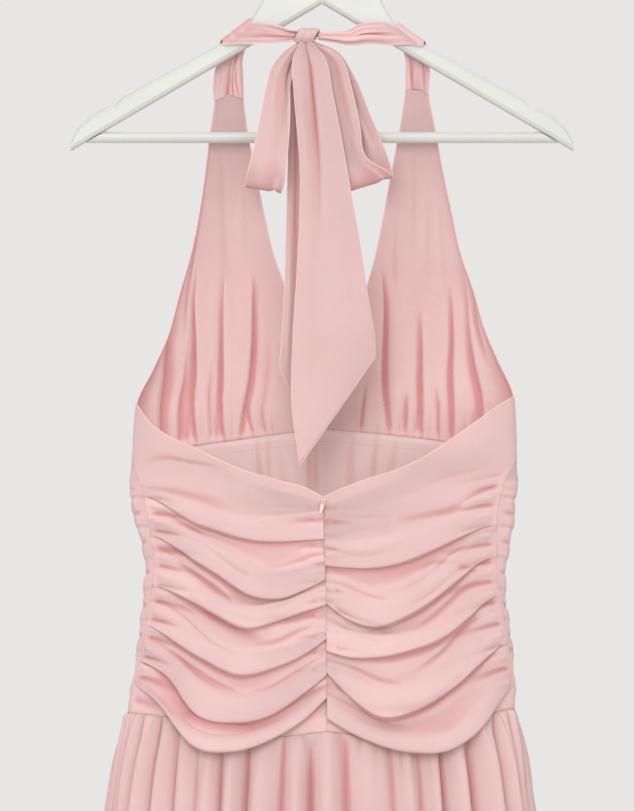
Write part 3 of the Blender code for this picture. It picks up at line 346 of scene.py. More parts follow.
STATIONS = (0.0, 0.12, 0.3, 0.5, 0.7, 0.88, 1.0)
LEFT_FOLDS = (
    Fold(
        (0.5443, 0.5558, 0.5671, 0.5731, 0.5737, 0.5715, 0.5686),
        (0.5548, 0.5727, 0.5846, 0.5928, 0.5945, 0.5932, 0.5923),
        (0.0010, 0.0065, 0.0075, 0.0057, 0.0042, 0.0030, 0.0020),
    ),
    Fold(
        (0.5740, 0.5839, 0.5952, 0.6117, 0.6196, 0.6148, 0.6108),
        (0.5896, 0.6061, 0.6236, 0.6409, 0.6442, 0.6352, 0.6277),
        (0.0010, 0.0075, 0.0095, 0.0080, 0.0060, 0.0040, 0.0028),
    ),
    Fold(
        (0.6122, 0.6232, 0.6434, 0.6518, 0.6471, 0.6390, 0.6332),
        (0.6337, 0.6431, 0.6578, 0.6703, 0.6637, 0.6551, 0.6500),
        (0.0010, 0.0068, 0.0083, 0.0060, 0.0040, 0.0035, 0.0025),
    ),
    Fold(
        (0.6487, 0.6614, 0.6791, 0.6893, 0.6880, 0.6802, 0.6723),
        (0.6683, 0.6822, 0.6985, 0.7111, 0.7046, 0.6921, 0.6797),
        (0.0010, 0.0065, 0.0085, 0.0077, 0.0057, 0.0040, 0.0030),
    ),
    Fold(
        (0.6841, 0.6982, 0.7180, 0.7291, 0.7248, 0.7077, 0.6994),
        (0.7000, 0.7128, 0.7459, 0.7530, 0.7460, 0.7261, 0.7116),
        (0.0010, 0.0057, 0.0075, 0.0077, 0.0068, 0.0047, 0.0032),
    ),
    Fold(
        (0.7145, 0.7349, 0.7608, 0.7663, 0.7575, 0.7390, 0.7229),
        (0.7211, 0.7379, 0.7730, 0.7785, 0.7680, 0.7498, 0.7317),
        (0.0010, 0.0094, 0.0156, 0.0169, 0.0131, 0.0075, 0.0040),
    ),
)
RIGHT_FOLDS = (
    Fold(
        (0.5533, 0.5649, 0.5764, 0.5860, 0.5898, 0.5929, 0.5954),
        (0.5801, 0.5905, 0.6032, 0.6135, 0.6177, 0.6170, 0.6157),
        (0.0010, 0.0055, 0.0070, 0.0063, 0.0052, 0.0035, 0.0022),
    ),
    Fold(
        (0.5863, 0.6020, 0.6187, 0.6322, 0.6360, 0.6358, 0.6348),
        (0.6079, 0.6238, 0.6439, 0.6601, 0.6691, 0.6610, 0.6489),
        (0.0010, 0.0065, 0.0085, 0.0085, 0.0072, 0.0052, 0.0028),
    ),
    Fold(
        (0.6297, 0.6493, 0.6667, 0.6755, 0.6773, 0.6728, 0.6680),
        (0.6425, 0.6589, 0.6787, 0.6900, 0.6958, 0.6954, 0.6904),
        (0.0010, 0.0063, 0.0077, 0.0072, 0.0060, 0.0040, 0.0028),
    ),
    Fold(
        (0.6706, 0.6875, 0.7092, 0.7216, 0.7227, 0.7129, 0.7041),
        (0.6847, 0.7012, 0.7254, 0.7432, 0.7475, 0.7279, 0.7094),
        (0.0010, 0.0060, 0.0077, 0.0085, 0.0077, 0.0055, 0.0032),
    ),
    Fold(
        (0.7102, 0.7337, 0.7590, 0.7644, 0.7604, 0.7467, 0.7314),
        (0.7235, 0.7536, 0.7760, 0.7794, 0.7728, 0.7605, 0.7498),
        (0.0010, 0.0100, 0.0163, 0.0175, 0.0150, 0.0106, 0.0069),
    ),
)
FRONT_FOLDS = (
    Fold(
        (0.5410, 0.5440, 0.5480, 0.5520, 0.5550, 0.5570, 0.5580),
        (0.5530, 0.5570, 0.5620, 0.5660, 0.5695, 0.5715, 0.5720),
        (0.0010, 0.0051, 0.0055, 0.0046, 0.0042, 0.0044, 0.0044),
    ),
    Fold(
        (0.5650, 0.5700, 0.5765, 0.5810, 0.5850, 0.5875, 0.5880),
        (0.5790, 0.5850, 0.5925, 0.5980, 0.6030, 0.6055, 0.6060),
        (0.0010, 0.0055, 0.0068, 0.0066, 0.0057, 0.0051, 0.0051),
    ),
    Fold(
        (0.5930, 0.5990, 0.6070, 0.6140, 0.6190, 0.6215, 0.6220),
        (0.6060, 0.6130, 0.6225, 0.6300, 0.6360, 0.6385, 0.6390),
        (0.0010, 0.0048, 0.0055, 0.0059, 0.0062, 0.0057, 0.0055),
    ),
    Fold(
        (0.6200, 0.6270, 0.6360, 0.6440, 0.6500, 0.6530, 0.6540),
        (0.6340, 0.6410, 0.6510, 0.6600, 0.6670, 0.6695, 0.6700),
        (0.0010, 0.0053, 0.0068, 0.0070, 0.0066, 0.0064, 0.0064),
    ),
    Fold(
        (0.6470, 0.6550, 0.6650, 0.6740, 0.6810, 0.6845, 0.6850),
        (0.6610, 0.6690, 0.6800, 0.6900, 0.6980, 0.7015, 0.7020),
        (0.0010, 0.0051, 0.0057, 0.0062, 0.0066, 0.0068, 0.0068),
    ),
    Fold(
        (0.6740, 0.6820, 0.6930, 0.7030, 0.7110, 0.7150, 0.7160),
        (0.6880, 0.6970, 0.7090, 0.7200, 0.7290, 0.7325, 0.7330),
        (0.0010, 0.0053, 0.0066, 0.0073, 0.0077, 0.0077, 0.0077),
    ),
)


class Flare(NamedTuple):
    """A level of the skirt: drop below the waist seam, how far it has spread, and how deep its folds are."""

    below: float
    spread_x: float
    spread_y: float
    fold: float


SKIRT = (
    Flare(0.0000, 0.0000, 0.0000, 0.0000),
    Flare(0.0080, 0.0020, 0.0003, 0.0028),
    Flare(0.0280, 0.0062, 0.0012, 0.0074),
    Flare(0.0850, 0.0150, 0.0050, 0.0114),
    Flare(0.2200, 0.0380, 0.0160, 0.0122),
    Flare(0.4500, 0.0720, 0.0330, 0.0120),
    Flare(0.7700, 0.1000, 0.0480, 0.0150),
)


class Pleat(NamedTuple):
    """A hanging fold of the skirt: where the hollow before it lies across the half, and its depth's share."""

    share: float
    depth: float


BACK_PLEATS = (
    Pleat(0.000, 0.5),
    Pleat(0.045, 0.8),
    Pleat(0.105, 0.8),
    Pleat(0.167, 1.9),
    Pleat(0.222, 0.9),
    Pleat(0.268, 0.7),
    Pleat(0.316, 1.1),
    Pleat(0.364, 1.3),
    Pleat(0.426, 0.8),
    Pleat(0.474, 1.4),
    Pleat(0.536, 1.2),
    Pleat(0.620, 0.8),
    Pleat(0.672, 0.9),
    Pleat(0.720, 1.3),
    Pleat(0.787, 1.1),
    Pleat(0.870, 1.7),
    Pleat(0.930, 0.8),
    Pleat(1.000, 0.5),
)
FRONT_PLEATS = (
    Pleat(0.000, 0.5),
    Pleat(0.060, 0.9),
    Pleat(0.130, 1.0),
    Pleat(0.190, 0.8),
    Pleat(0.260, 1.2),
    Pleat(0.335, 0.8),
    Pleat(0.390, 1.0),
    Pleat(0.455, 0.9),
    Pleat(0.525, 1.2),
    Pleat(0.600, 0.8),
    Pleat(0.655, 1.0),
    Pleat(0.725, 1.1),
    Pleat(0.800, 0.8),
    Pleat(0.865, 1.0),
    Pleat(0.935, 0.9),
    Pleat(1.000, 0.5),
)


class Station(NamedTuple):
    """A point on a crease: how far along the sheet, where across it, its half width and its height or depth."""

    along: float
    across: float
    width: float
    height: float


class Side(Enum):
    """The two halves of the dress, as seen from its back."""

    LEFT = "left"
    RIGHT = "right"


class Held(Enum):
    """How a sheet of cloth is held."""

    GATHERED = "gathered"
    FOLDED = "folded"
    HUNG = "hung"


def through(at: Array, knots: Sequence[float], values: Sequence) -> Array:
    """A smooth cubic through a table's rows, with each row's slope the weighted mean of those beside it.

    Args:
        at: the places to read, held inside the table.
        knots: the rows' places, rising.
        values: the rows' numbers, one or several to a row.

    Returns:
        The numbers at the places read.
    """
    knots, values = np.asarray(knots, float), np.asarray(values, float)
    at = np.clip(np.asarray(at, float), knots[0], knots[-1])
    if values.ndim == 1:
        return through(at, knots, values[:, None])[..., 0]
    steps = np.diff(knots)[:, None]
    rises = np.diff(values, axis=0) / steps
    inner = (rises[:-1] * steps[1:] + rises[1:] * steps[:-1]) / (steps[1:] + steps[:-1])
    slopes = np.vstack([rises[:1], inner, rises[-1:]])
    row = np.clip(np.searchsorted(knots, at, side="right") - 1, 0, len(knots) - 2)
    step = steps[row]
    part = (at[..., None] - knots[row][..., None]) / step
    start = values[row] * (1 + 2 * part) * (1 - part) ** 2 + values[row + 1] * part**2 * (3 - 2 * part)
    return start + step * part * (1 - part) * (slopes[row] * (1 - part) - slopes[row + 1] * part)


def eased(count: int, ease: float = 1.0) -> Array:
    """Shares from 0 to 1, closer together near both ends: ease times the half cosine, the rest even."""
    even = np.linspace(0, 1, count)
    return ease * (1 - np.cos(np.pi * even)) / 2 + (1 - ease) * even


def normals_of(points: Array) -> Array:
    """The unit normal at each point of a grid: along its rows crossed with down its columns."""
    normals = np.cross(np.gradient(points, axis=1), np.gradient(points, axis=0))
    return normals / np.maximum(np.linalg.norm(normals, axis=2, keepdims=True), 1e-12)


def lengths_along(points: Array) -> Array:
    """The length of a path up to each of its points."""
    return np.concatenate([[0], np.cumsum(np.linalg.norm(np.diff(points, axis=0), axis=1))])


@dataclass(frozen=True)
class Crease:
    """A soft ridge or trough: its height times a bell, exp(-(distance / half width) squared), on each flank.

    A lean above 0 makes the flank on the far side wide and the near one steep.
    """

    stations: tuple[Station, ...]
    lean: float = 0.0

    def push(self, along: Array, across: Array) -> Array:
        """How far the crease lifts each point.

        Args:
            along: place of each point along the sheet.
            across: place of each point across it.

        Returns:
            The lift in metres, of the grid's shape.
        """
        table = np.array(self.stations)
        read = through(along, table[:, 0], table[:, 1:])
        away = (across - read[..., 0]) / np.maximum(read[..., 1], 1e-6)
        away = away / (1 + self.lean * np.sign(away))
        return read[..., 2] * np.exp(-(away**2))


def creases(*rows: tuple) -> tuple[Crease, ...]:
    """Creases from rows: a lean, then the stations as plain numbers."""
    return tuple(Crease(tuple(Station(*station) for station in row[1:]), row[0]) for row in rows)


def pushed(points: Array, lines: Sequence[Crease], along: Array, across: Array) -> Array:
    """A grid's points moved along their normals by the sum of the creases."""
    if not lines:
        return points
    lift = sum(line.push(along, across) for line in lines)
    return points + normals_of(points) * lift[..., None]


def grid_faces(rows: int, columns: int, start: int = 0) -> Array:
    """The four-sided faces of a grid of points, row by row."""
    first = start + np.arange(rows - 1)[:, None] * columns + np.arange(columns - 1)
    return np.stack([first, first + columns, first + columns + 1, first + 1], axis=2).reshape(-1, 4)


def new_object(name: str, points: Array, faces: Array, uv: Array | None = None) -> bpy.types.Object:
    """A smooth-shaded object from points and faces.

    Args:
        name: the piece's name.
        points: its points, in metres.
        faces: faces of one size, as rows of point numbers.
        uv: a place on the cloth for each point, in metres, or None.

    Returns:
        The object, linked to the scene.
    """
    mesh = bpy.data.meshes.new(name)
    sides = faces.shape[1]
    mesh.vertices.add(len(points))
    mesh.vertices.foreach_set("co", np.ascontiguousarray(points, np.float32).ravel())
    mesh.loops.add(faces.size)
    mesh.loops.foreach_set("vertex_index", np.ascontiguousarray(faces, np.int32).ravel())
    mesh.polygons.add(len(faces))
    mesh.polygons.foreach_set("loop_start", np.arange(len(faces), dtype=np.int32) * sides)
    mesh.polygons.foreach_set("loop_total", np.full(len(faces), sides, np.int32))
    mesh.update(calc_edges=True)
    if uv is not None:
        layer = mesh.uv_layers.new(name="cloth")
        layer.data.foreach_set("uv", np.ascontiguousarray(uv[faces.ravel()], np.float32).ravel())
    mesh.validate()
    mesh.shade_smooth()
    made = bpy.data.objects.new(name, mesh)
    bpy.context.scene.collection.objects.link(made)
    return made


def area_of(points: Array) -> float:
    """The area of a grid, as the sum of its cells' half cross products."""
    first = points[1:, 1:] - points[:-1, :-1]
    second = points[1:, :-1] - points[:-1, 1:]
    return float(np.linalg.norm(np.cross(first, second), axis=2).sum() / 2)


def spread_over(values: Array, count: int, axis: int) -> Array:
    """Each value's mean over this many neighbours to both sides along an axis, taken twice."""
    values = np.moveaxis(values, axis, 0)
    for _ in range(2):
        padded = np.concatenate([np.repeat(values[:1], count, 0), values, np.repeat(values[-1:], count, 0)])
        sums = np.concatenate([np.zeros_like(padded[:1]), np.cumsum(padded, 0)])
        values = (sums[2 * count + 1:] - sums[:-2 * count - 1]) / (2 * count + 1)
    return np.moveaxis(values, 0, axis)


def hollows_of(points: Array, facing: float) -> Array:
    """How deep each point lies in a fold, for the painted shade of the chiffon: 0.5 on even cloth, 1 in a hollow, 0 on
    a ridge.

    It is the distance behind the mean of the cloth round it, over HOLLOW_REACHES, along the cloth's own normal.
    """
    normal = normals_of(points)
    normal = normal * (1 if normal[..., 1].mean() * facing > 0 else -1)
    depth = np.zeros(points.shape[:2])
    for reach in HOLLOW_REACHES:
        mean, around = points, normal
        for axis in (0, 1):
            step = np.linalg.norm(np.diff(points, axis=axis), axis=2).mean()
            count = int(np.clip(reach / step / 2, 1, points.shape[axis] // 4))
            mean, around = spread_over(mean, count, axis), spread_over(around, count, axis)
        around /= np.maximum(np.linalg.norm(around, axis=2, keepdims=True), 1e-9)
        depth += ((mean - points) * around).sum(axis=2) / (reach * HOLLOW_SHARE)
    return 0.5 + np.tanh(depth) / 2


def cloth_object(name: str, points: Array, facing: float = -1.0, wall: float = CLOTH_WALL) -> bpy.types.Object:
    """A sheet of cloth: an open grid with its own lengths as UV and its hollows as a second UV for the painted shade,
    thickened to both sides.

    Args:
        name: the piece's name.
        points: the grid down the middle of the cloth, rows by columns.
        facing: the way that its seen side looks along y.
        wall: the cloth's thickness.

    Returns:
        The object, with a live wall.
    """
    rows, columns, _ = points.shape
    down = lengths_along(points[:, columns // 2])[:, None] + np.zeros((1, columns))
    across = lengths_along(points[rows // 2])[None, :] + np.zeros((rows, 1))
    uv = np.stack([across, down], axis=2).reshape(-1, 2)
    faces = grid_faces(rows, columns)
    made = new_object(name, points.reshape(-1, 3), faces, uv)
    # Painted shade: the hollow UV tells the chiffon how far to darken each point in its fold.
    hollow = hollows_of(points, facing).reshape(-1)[faces.ravel()]
    layer = made.data.uv_layers.new(name="hollow")
    layer.data.foreach_set("uv", np.ascontiguousarray(np.stack([hollow, 0 * hollow], axis=1), np.float32).ravel())
    solid = made.modifiers.new("wall", "SOLIDIFY")
    solid.thickness = wall
    solid.offset = 0
    return made


def tube_parts(path: Array, radius: float, sides: int) -> tuple[Array, Array]:
    """A round cord's points and faces: a circle carried along a path, closed by a pole at each end.

    Args:
        path: the points down its middle.
        radius: its radius.
        sides: points round the circle.

    Returns:
        Points, and triangles.
    """
    ahead = np.gradient(path, axis=0)
    ahead /= np.maximum(np.linalg.norm(ahead, axis=1, keepdims=True), 1e-12)
    helper = np.where(np.abs(ahead[:, [1]]) < 0.8, [[0.0, 1.0, 0.0]], [[1.0, 0.0, 0.0]])
    side = np.cross(ahead, helper)
    side /= np.linalg.norm(side, axis=1, keepdims=True)
    up = np.cross(side, ahead)
    turn = np.linspace(0, 2 * np.pi, sides, endpoint=False)
    ring = np.cos(turn)[None, :, None] * side[:, None] + np.sin(turn)[None, :, None] * up[:, None]
    points = (path[:, None] + radius * ring).reshape(-1, 3)
    index = np.arange(len(points)).reshape(len(path), sides)
    after = np.roll(index, -1, axis=1)
    quads = np.stack([index[:-1], index[1:], after[1:], after[:-1]], axis=2).reshape(-1, 4)
    count = len(points)
    first = np.stack([np.full(sides, count), index[0], after[0]], axis=1)
    last = np.stack([np.full(sides, count + 1), after[-1], index[-1]], axis=1)
    points = np.vstack([points, path[0], path[-1]])
    return points, np.vstack([quads[:, :3], quads[:, [0, 2, 3]], first, last])


def joined(parts: Sequence[tuple[Array, Array]]) -> tuple[Array, Array]:
    """Several meshes' points and faces as one."""
    starts = np.cumsum([0] + [len(points) for points, _ in parts[:-1]])
    return (
        np.vstack([points for points, _ in parts]),
        np.vstack([faces + start for (_, faces), start in zip(parts, starts)]),
    )


def seed_parts(middles: Array, ahead: Array, out: Array, length: float, radius: float) -> tuple[Array, Array]:
    """Many small seeds of thread: one round-ended form of 3 rings, set at each place by its own axes.

    Args:
        middles: where each seed lies.
        ahead: the unit direction that it points in.
        out: the unit direction that it stands up in.
        length: its length.
        radius: its thickest radius.

    Returns:
        Points, and triangles, of all of them.
    """
    sides = 5
    turn = np.linspace(0, 2 * np.pi, sides, endpoint=False)
    places = np.repeat([-0.36, 0.0, 0.36], sides) * length
    sizes = np.repeat([0.72, 1.0, 0.72], sides) * radius
    local = np.stack([places, sizes * np.tile(np.cos(turn), 3), sizes * np.tile(np.sin(turn), 3)], axis=1)
    local = np.vstack([local, [-length / 2, 0, 0], [length / 2, 0, 0]])
    beside = np.cross(ahead, out)
    axes = np.stack([ahead, beside, out], axis=1)
    points = (middles[:, None] + np.einsum("pk,nkc->npc", local, axes)).reshape(-1, 3)
    index = np.arange(3 * sides).reshape(3, sides)
    after = np.roll(index, -1, axis=1)
    quads = np.stack([index[:-1], after[:-1], after[1:], index[1:]], axis=2).reshape(-1, 4)
    ends = [np.stack([np.full(sides, 3 * sides), after[0], index[0]], axis=1)]
    ends.append(np.stack([np.full(sides, 3 * sides + 1), index[2], after[2]], axis=1))
    faces = np.vstack([quads[:, :3], quads[:, [0, 2, 3]], *ends])
    return points, (faces[None] + np.arange(len(middles))[:, None, None] * len(local)).reshape(-1, 3)


class Nodes:
    """A small hand on a material's node tree."""

    def __init__(self, name: str) -> None:
        """Start a material with its own shader and output."""
        self.material = bpy.data.materials.new(name)
        self.material.use_nodes = True
        self.tree = self.material.node_tree
        self.shader = self.tree.nodes["Principled BSDF"]

    def add(self, kind: str, **values: float) -> bpy.types.Node:
        """A node of this kind, with plain values set on its input sockets by name."""
        node = self.tree.nodes.new(kind)
        for key, value in values.items():
            node.inputs[key.replace("_", " ")].default_value = value
        return node

    def join(self, out: bpy.types.NodeSocket, into: bpy.types.NodeSocket) -> None:
        """Link two sockets."""
        self.tree.links.new(out, into)

    def place(self, uv: bool, scale: tuple[float, float, float]) -> bpy.types.NodeSocket:
        """A pattern's place, from the object or from the piece's own UV map, stretched by a scale."""
        coordinates = self.add("ShaderNodeTexCoord")
        mapping = self.add("ShaderNodeMapping")
        mapping.inputs["Scale"].default_value = scale
        self.join(coordinates.outputs["UV" if uv else "Object"], mapping.inputs["Vector"])
        return mapping.outputs["Vector"]

    def mixed(self, factor: bpy.types.NodeSocket, low: tuple, high: tuple) -> bpy.types.NodeSocket:
        """A colour between two, by a factor."""
        ramp = self.add("ShaderNodeValToRGB")
        ramp.color_ramp.elements[0].color = (*low, 1.0)
        ramp.color_ramp.elements[1].color = (*high, 1.0)
        ramp.color_ramp.elements[0].position = 0.3
        ramp.color_ramp.elements[1].position = 0.7
        self.join(factor, ramp.inputs["Fac"])
        return ramp.outputs["Color"]

    def bump(self, height: bpy.types.NodeSocket, distance: float, under: bpy.types.NodeSocket | None) -> bpy.types.NodeSocket:
        """A bump of this height, over another one's normal if there is one."""
        bump = self.add("ShaderNodeBump", Strength=1.0, Distance=distance)
        self.join(height, bump.inputs["Height"])
        if under is not None:
            self.join(under, bump.inputs["Normal"])
        return bump.outputs["Normal"]


@dataclass(frozen=True)
class Chiffon:
    """Thin crinkled chiffon: a lighter and a deeper colour, the painted shade that darkens it in the hollows of its
    folds, and its weave.
    """

    name: str
    light: tuple[float, float, float] = (0.868, 0.606, 0.594)
    deep: tuple[float, float, float] = (0.845, 0.572, 0.561)
    # The colour of the painted shade, multiplied in where the cloth lies deepest in a fold.
    hollow_shade: tuple[float, float, float] = (0.84, 0.56, 0.58)
    roughness: float = 0.86
    threads_a_metre: float = 1500.0
    thread_height: float = 0.00009
    crinkle_height: float = 0.0003

    def make(self) -> bpy.types.Material:
        """Cloudy colour with painted shade in the fold hollows, two crossed sets of threads on the cloth's own lengths,
        and a soft crinkle.
        """
        nodes = Nodes(self.name)
        clouds = nodes.add("ShaderNodeTexNoise", Scale=22.0, Detail=4.0, Roughness=0.6)
        nodes.join(nodes.place(False, (1.0, 1.0, 1.0)), clouds.inputs["Vector"])
        # Painted shade: the hollow UV, how deep each point lies in a fold, darkens the colour towards the painted shade
        # colour.
        hollow = nodes.add("ShaderNodeUVMap")
        hollow.uv_map = "hollow"
        split = nodes.add("ShaderNodeSeparateXYZ")
        nodes.join(hollow.outputs["UV"], split.inputs["Vector"])
        shade = nodes.add("ShaderNodeValToRGB")
        shade.color_ramp.elements[0].position, shade.color_ramp.elements[0].color = 0.0, (1.0, 1.0, 1.0, 1.0)
        shade.color_ramp.elements[1].position, shade.color_ramp.elements[1].color = 1.0, (*self.hollow_shade, 1.0)
        middle = shade.color_ramp.elements.new(0.54)
        middle.color = (0.99, 0.975, 0.975, 1.0)
        nodes.join(split.outputs["X"], shade.inputs["Fac"])
        tinted = nodes.add("ShaderNodeVectorMath")
        tinted.operation = "MULTIPLY"
        nodes.join(nodes.mixed(clouds.outputs["Fac"], self.deep, self.light), tinted.inputs[0])
        nodes.join(shade.outputs["Color"], tinted.inputs[1])
        nodes.join(tinted.outputs["Vector"], nodes.shader.inputs["Base Color"])
        crinkle = nodes.add("ShaderNodeTexNoise", Scale=1.0, Detail=3.0, Roughness=0.62)
        nodes.join(nodes.place(True, (150.0, 420.0, 1.0)), crinkle.inputs["Vector"])
        normal = nodes.bump(crinkle.outputs["Fac"], self.crinkle_height, None)
        place = nodes.place(True, (self.threads_a_metre, self.threads_a_metre, 1.0))
        for direction in ("X", "Y"):
            threads = nodes.add("ShaderNodeTexWave", Scale=0.5, Distortion=1.2)
            threads.bands_direction = direction
            nodes.join(place, threads.inputs["Vector"])
            normal = nodes.bump(threads.outputs["Fac"], self.thread_height, normal)
        nodes.join(normal, nodes.shader.inputs["Normal"])
        nodes.shader.inputs["Roughness"].default_value = self.roughness
        nodes.shader.inputs["Specular IOR Level"].default_value = 0.22
        nodes.shader.inputs["Sheen Weight"].default_value = 0.18
        nodes.shader.inputs["Sheen Roughness"].default_value = 0.5
        nodes.shader.inputs["Sheen Tint"].default_value = (1.0, 0.86, 0.84, 1.0)
        return nodes.material


@dataclass(frozen=True)
class PaintedWood:
    """White paint over fine wood: the paint's colour, where it has worn thin, and its brush grain."""

    name: str
    paint: tuple[float, float, float] = (0.610, 0.617, 0.582)
    worn: tuple[float, float, float] = (0.580, 0.586, 0.549)
    roughness: float = 0.42

    def make(self) -> bpy.types.Material:
        """Long fine grain along the arm under a satin paint, with slow changes of colour."""
        nodes = Nodes(self.name)
        clouds = nodes.add("ShaderNodeTexNoise", Scale=14.0, Detail=5.0, Roughness=0.55)
        nodes.join(nodes.place(False, (1.0, 1.0, 2.5)), clouds.inputs["Vector"])
        nodes.join(nodes.mixed(clouds.outputs["Fac"], self.worn, self.paint), nodes.shader.inputs["Base Color"])
        grain = nodes.add("ShaderNodeTexNoise", Scale=90.0, Detail=4.0, Roughness=0.6)
        nodes.join(nodes.place(False, (0.35, 3.0, 3.0)), grain.inputs["Vector"])
        nodes.join(nodes.bump(grain.outputs["Fac"], 0.00012, None), nodes.shader.inputs["Normal"])
        nodes.shader.inputs["Roughness"].default_value = self.roughness
        nodes.shader.inputs["Coat Weight"].default_value = 0.12
        nodes.shader.inputs["Coat Roughness"].default_value = 0.3
        return nodes.material


@dataclass(frozen=True)
class Metal:
    """A bare or painted metal: its colour, a duller one for its wear, and how bright it is."""

    name: str
    bright: tuple[float, float, float]
    dull: tuple[float, float, float]
    metallic: float
    roughness: float

    def make(self) -> bpy.types.Material:
        """Fine scratches in the roughness and the bump, and slow changes of colour."""
        nodes = Nodes(self.name)
        wear = nodes.add("ShaderNodeTexNoise", Scale=260.0, Detail=4.0, Roughness=0.6)
        nodes.join(nodes.place(False, (1.0, 1.0, 1.0)), wear.inputs["Vector"])
        nodes.join(nodes.mixed(wear.outputs["Fac"], self.dull, self.bright), nodes.shader.inputs["Base Color"])
        nodes.join(nodes.bump(wear.outputs["Fac"], 0.00003, None), nodes.shader.inputs["Normal"])
        nodes.shader.inputs["Metallic"].default_value = self.metallic
        nodes.shader.inputs["Roughness"].default_value = self.roughness
        return nodes.material


@dataclass(frozen=True)
class Thread:
    """Twisted sewing thread or woven tape: its colour, a deeper one, and the pitch of its twist."""

    name: str
    light: tuple[float, float, float]
    deep: tuple[float, float, float]
    twists_a_metre: float = 2200.0

    def make(self) -> bpy.types.Material:
        """Slanting bands of twist in colour and bump."""
        nodes = Nodes(self.name)
        twist = nodes.add("ShaderNodeTexWave", Scale=0.35, Distortion=0.6)
        twist.bands_direction = "DIAGONAL"
        across = (self.twists_a_metre,) * 3
        nodes.join(nodes.place(False, across), twist.inputs["Vector"])
        nodes.join(nodes.mixed(twist.outputs["Fac"], self.deep, self.light), nodes.shader.inputs["Base Color"])
        nodes.join(nodes.bump(twist.outputs["Fac"], 0.00004, None), nodes.shader.inputs["Normal"])
        nodes.shader.inputs["Roughness"].default_value = 0.7
        return nodes.material


@dataclass
class Wardrobe:
    """The finishes, each made once."""

    chiffon: bpy.types.Material = field(default_factory=lambda: Chiffon("pink_chiffon").make())
    # Lighter copy of the chiffon for the plain inside: painted light, standing in for light that the thin front lets
    # through into its shade.
    lining: bpy.types.Material = field(
        default_factory=lambda: Chiffon("pink_lining_painted_light", (0.985, 0.748, 0.724), (0.978, 0.728, 0.704)).make()
    )
    # Darker copy of the chiffon for the bow: partly the deeper tone of doubled cloth, partly painted shade to hold down
    # the bow, which stands nearest the lamps.
    tie: bpy.types.Material = field(
        default_factory=lambda: Chiffon("pink_doubled_chiffon_painted_shade", (0.785, 0.548, 0.537), (0.765, 0.518, 0.508)).make()
    )
    paint: bpy.types.Material = field(default_factory=lambda: PaintedWood("white_painted_wood").make())
    wire: bpy.types.Material = field(
        default_factory=lambda: Metal("bright_wire", (0.74, 0.74, 0.75), (0.60, 0.60, 0.61), 1.0, 0.24).make()
    )
    zip_metal: bpy.types.Material = field(
        default_factory=lambda: Metal("pale_zip_metal", (0.78, 0.58, 0.56), (0.68, 0.48, 0.46), 0.25, 0.38).make()
    )
    tape: bpy.types.Material = field(
        default_factory=lambda: Thread("zip_tape_weave", (0.86, 0.55, 0.53), (0.74, 0.42, 0.41), 900.0).make()
    )
    thread: bpy.types.Material = field(
        default_factory=lambda: Thread("pink_thread", (0.88, 0.56, 0.54), (0.74, 0.42, 0.41)).make()
    )


def dress_piece(made: bpy.types.Object, finish: bpy.types.Material, node: str = "", body: str = DRESS) -> None:
    """Give a piece its finish and body, and let it stand for a CAD node if one is named."""
    made.data.materials.append(finish)
    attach(made, body)
    if node:
        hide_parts(node)
    LOG.info("%s: %d faces", made.name, len(made.data.polygons))


def cloth_piece(
    node: str,
    points: Array,
    finish: bpy.types.Material,
    flat: tuple[float, float],
    facing: float = -1.0,
) -> bpy.types.Object:
    """A cloth piece that stands for its solid.

    Args:
        node: the solid's name.
        points: the grid down the middle of the cloth.
        finish: its material.
        flat: the width and length that it was cut to.
        facing: the way that its seen side looks along y.

    Returns:
        The object.
    """
    made = cloth_object(f"{node}_cloth", points, facing)
    dress_piece(made, finish, node)
    measured = area_of(points)
    LOG.info("%s: %.4f square metres, cut %.4f", made.name, measured, flat[0] * flat[1])
    return made


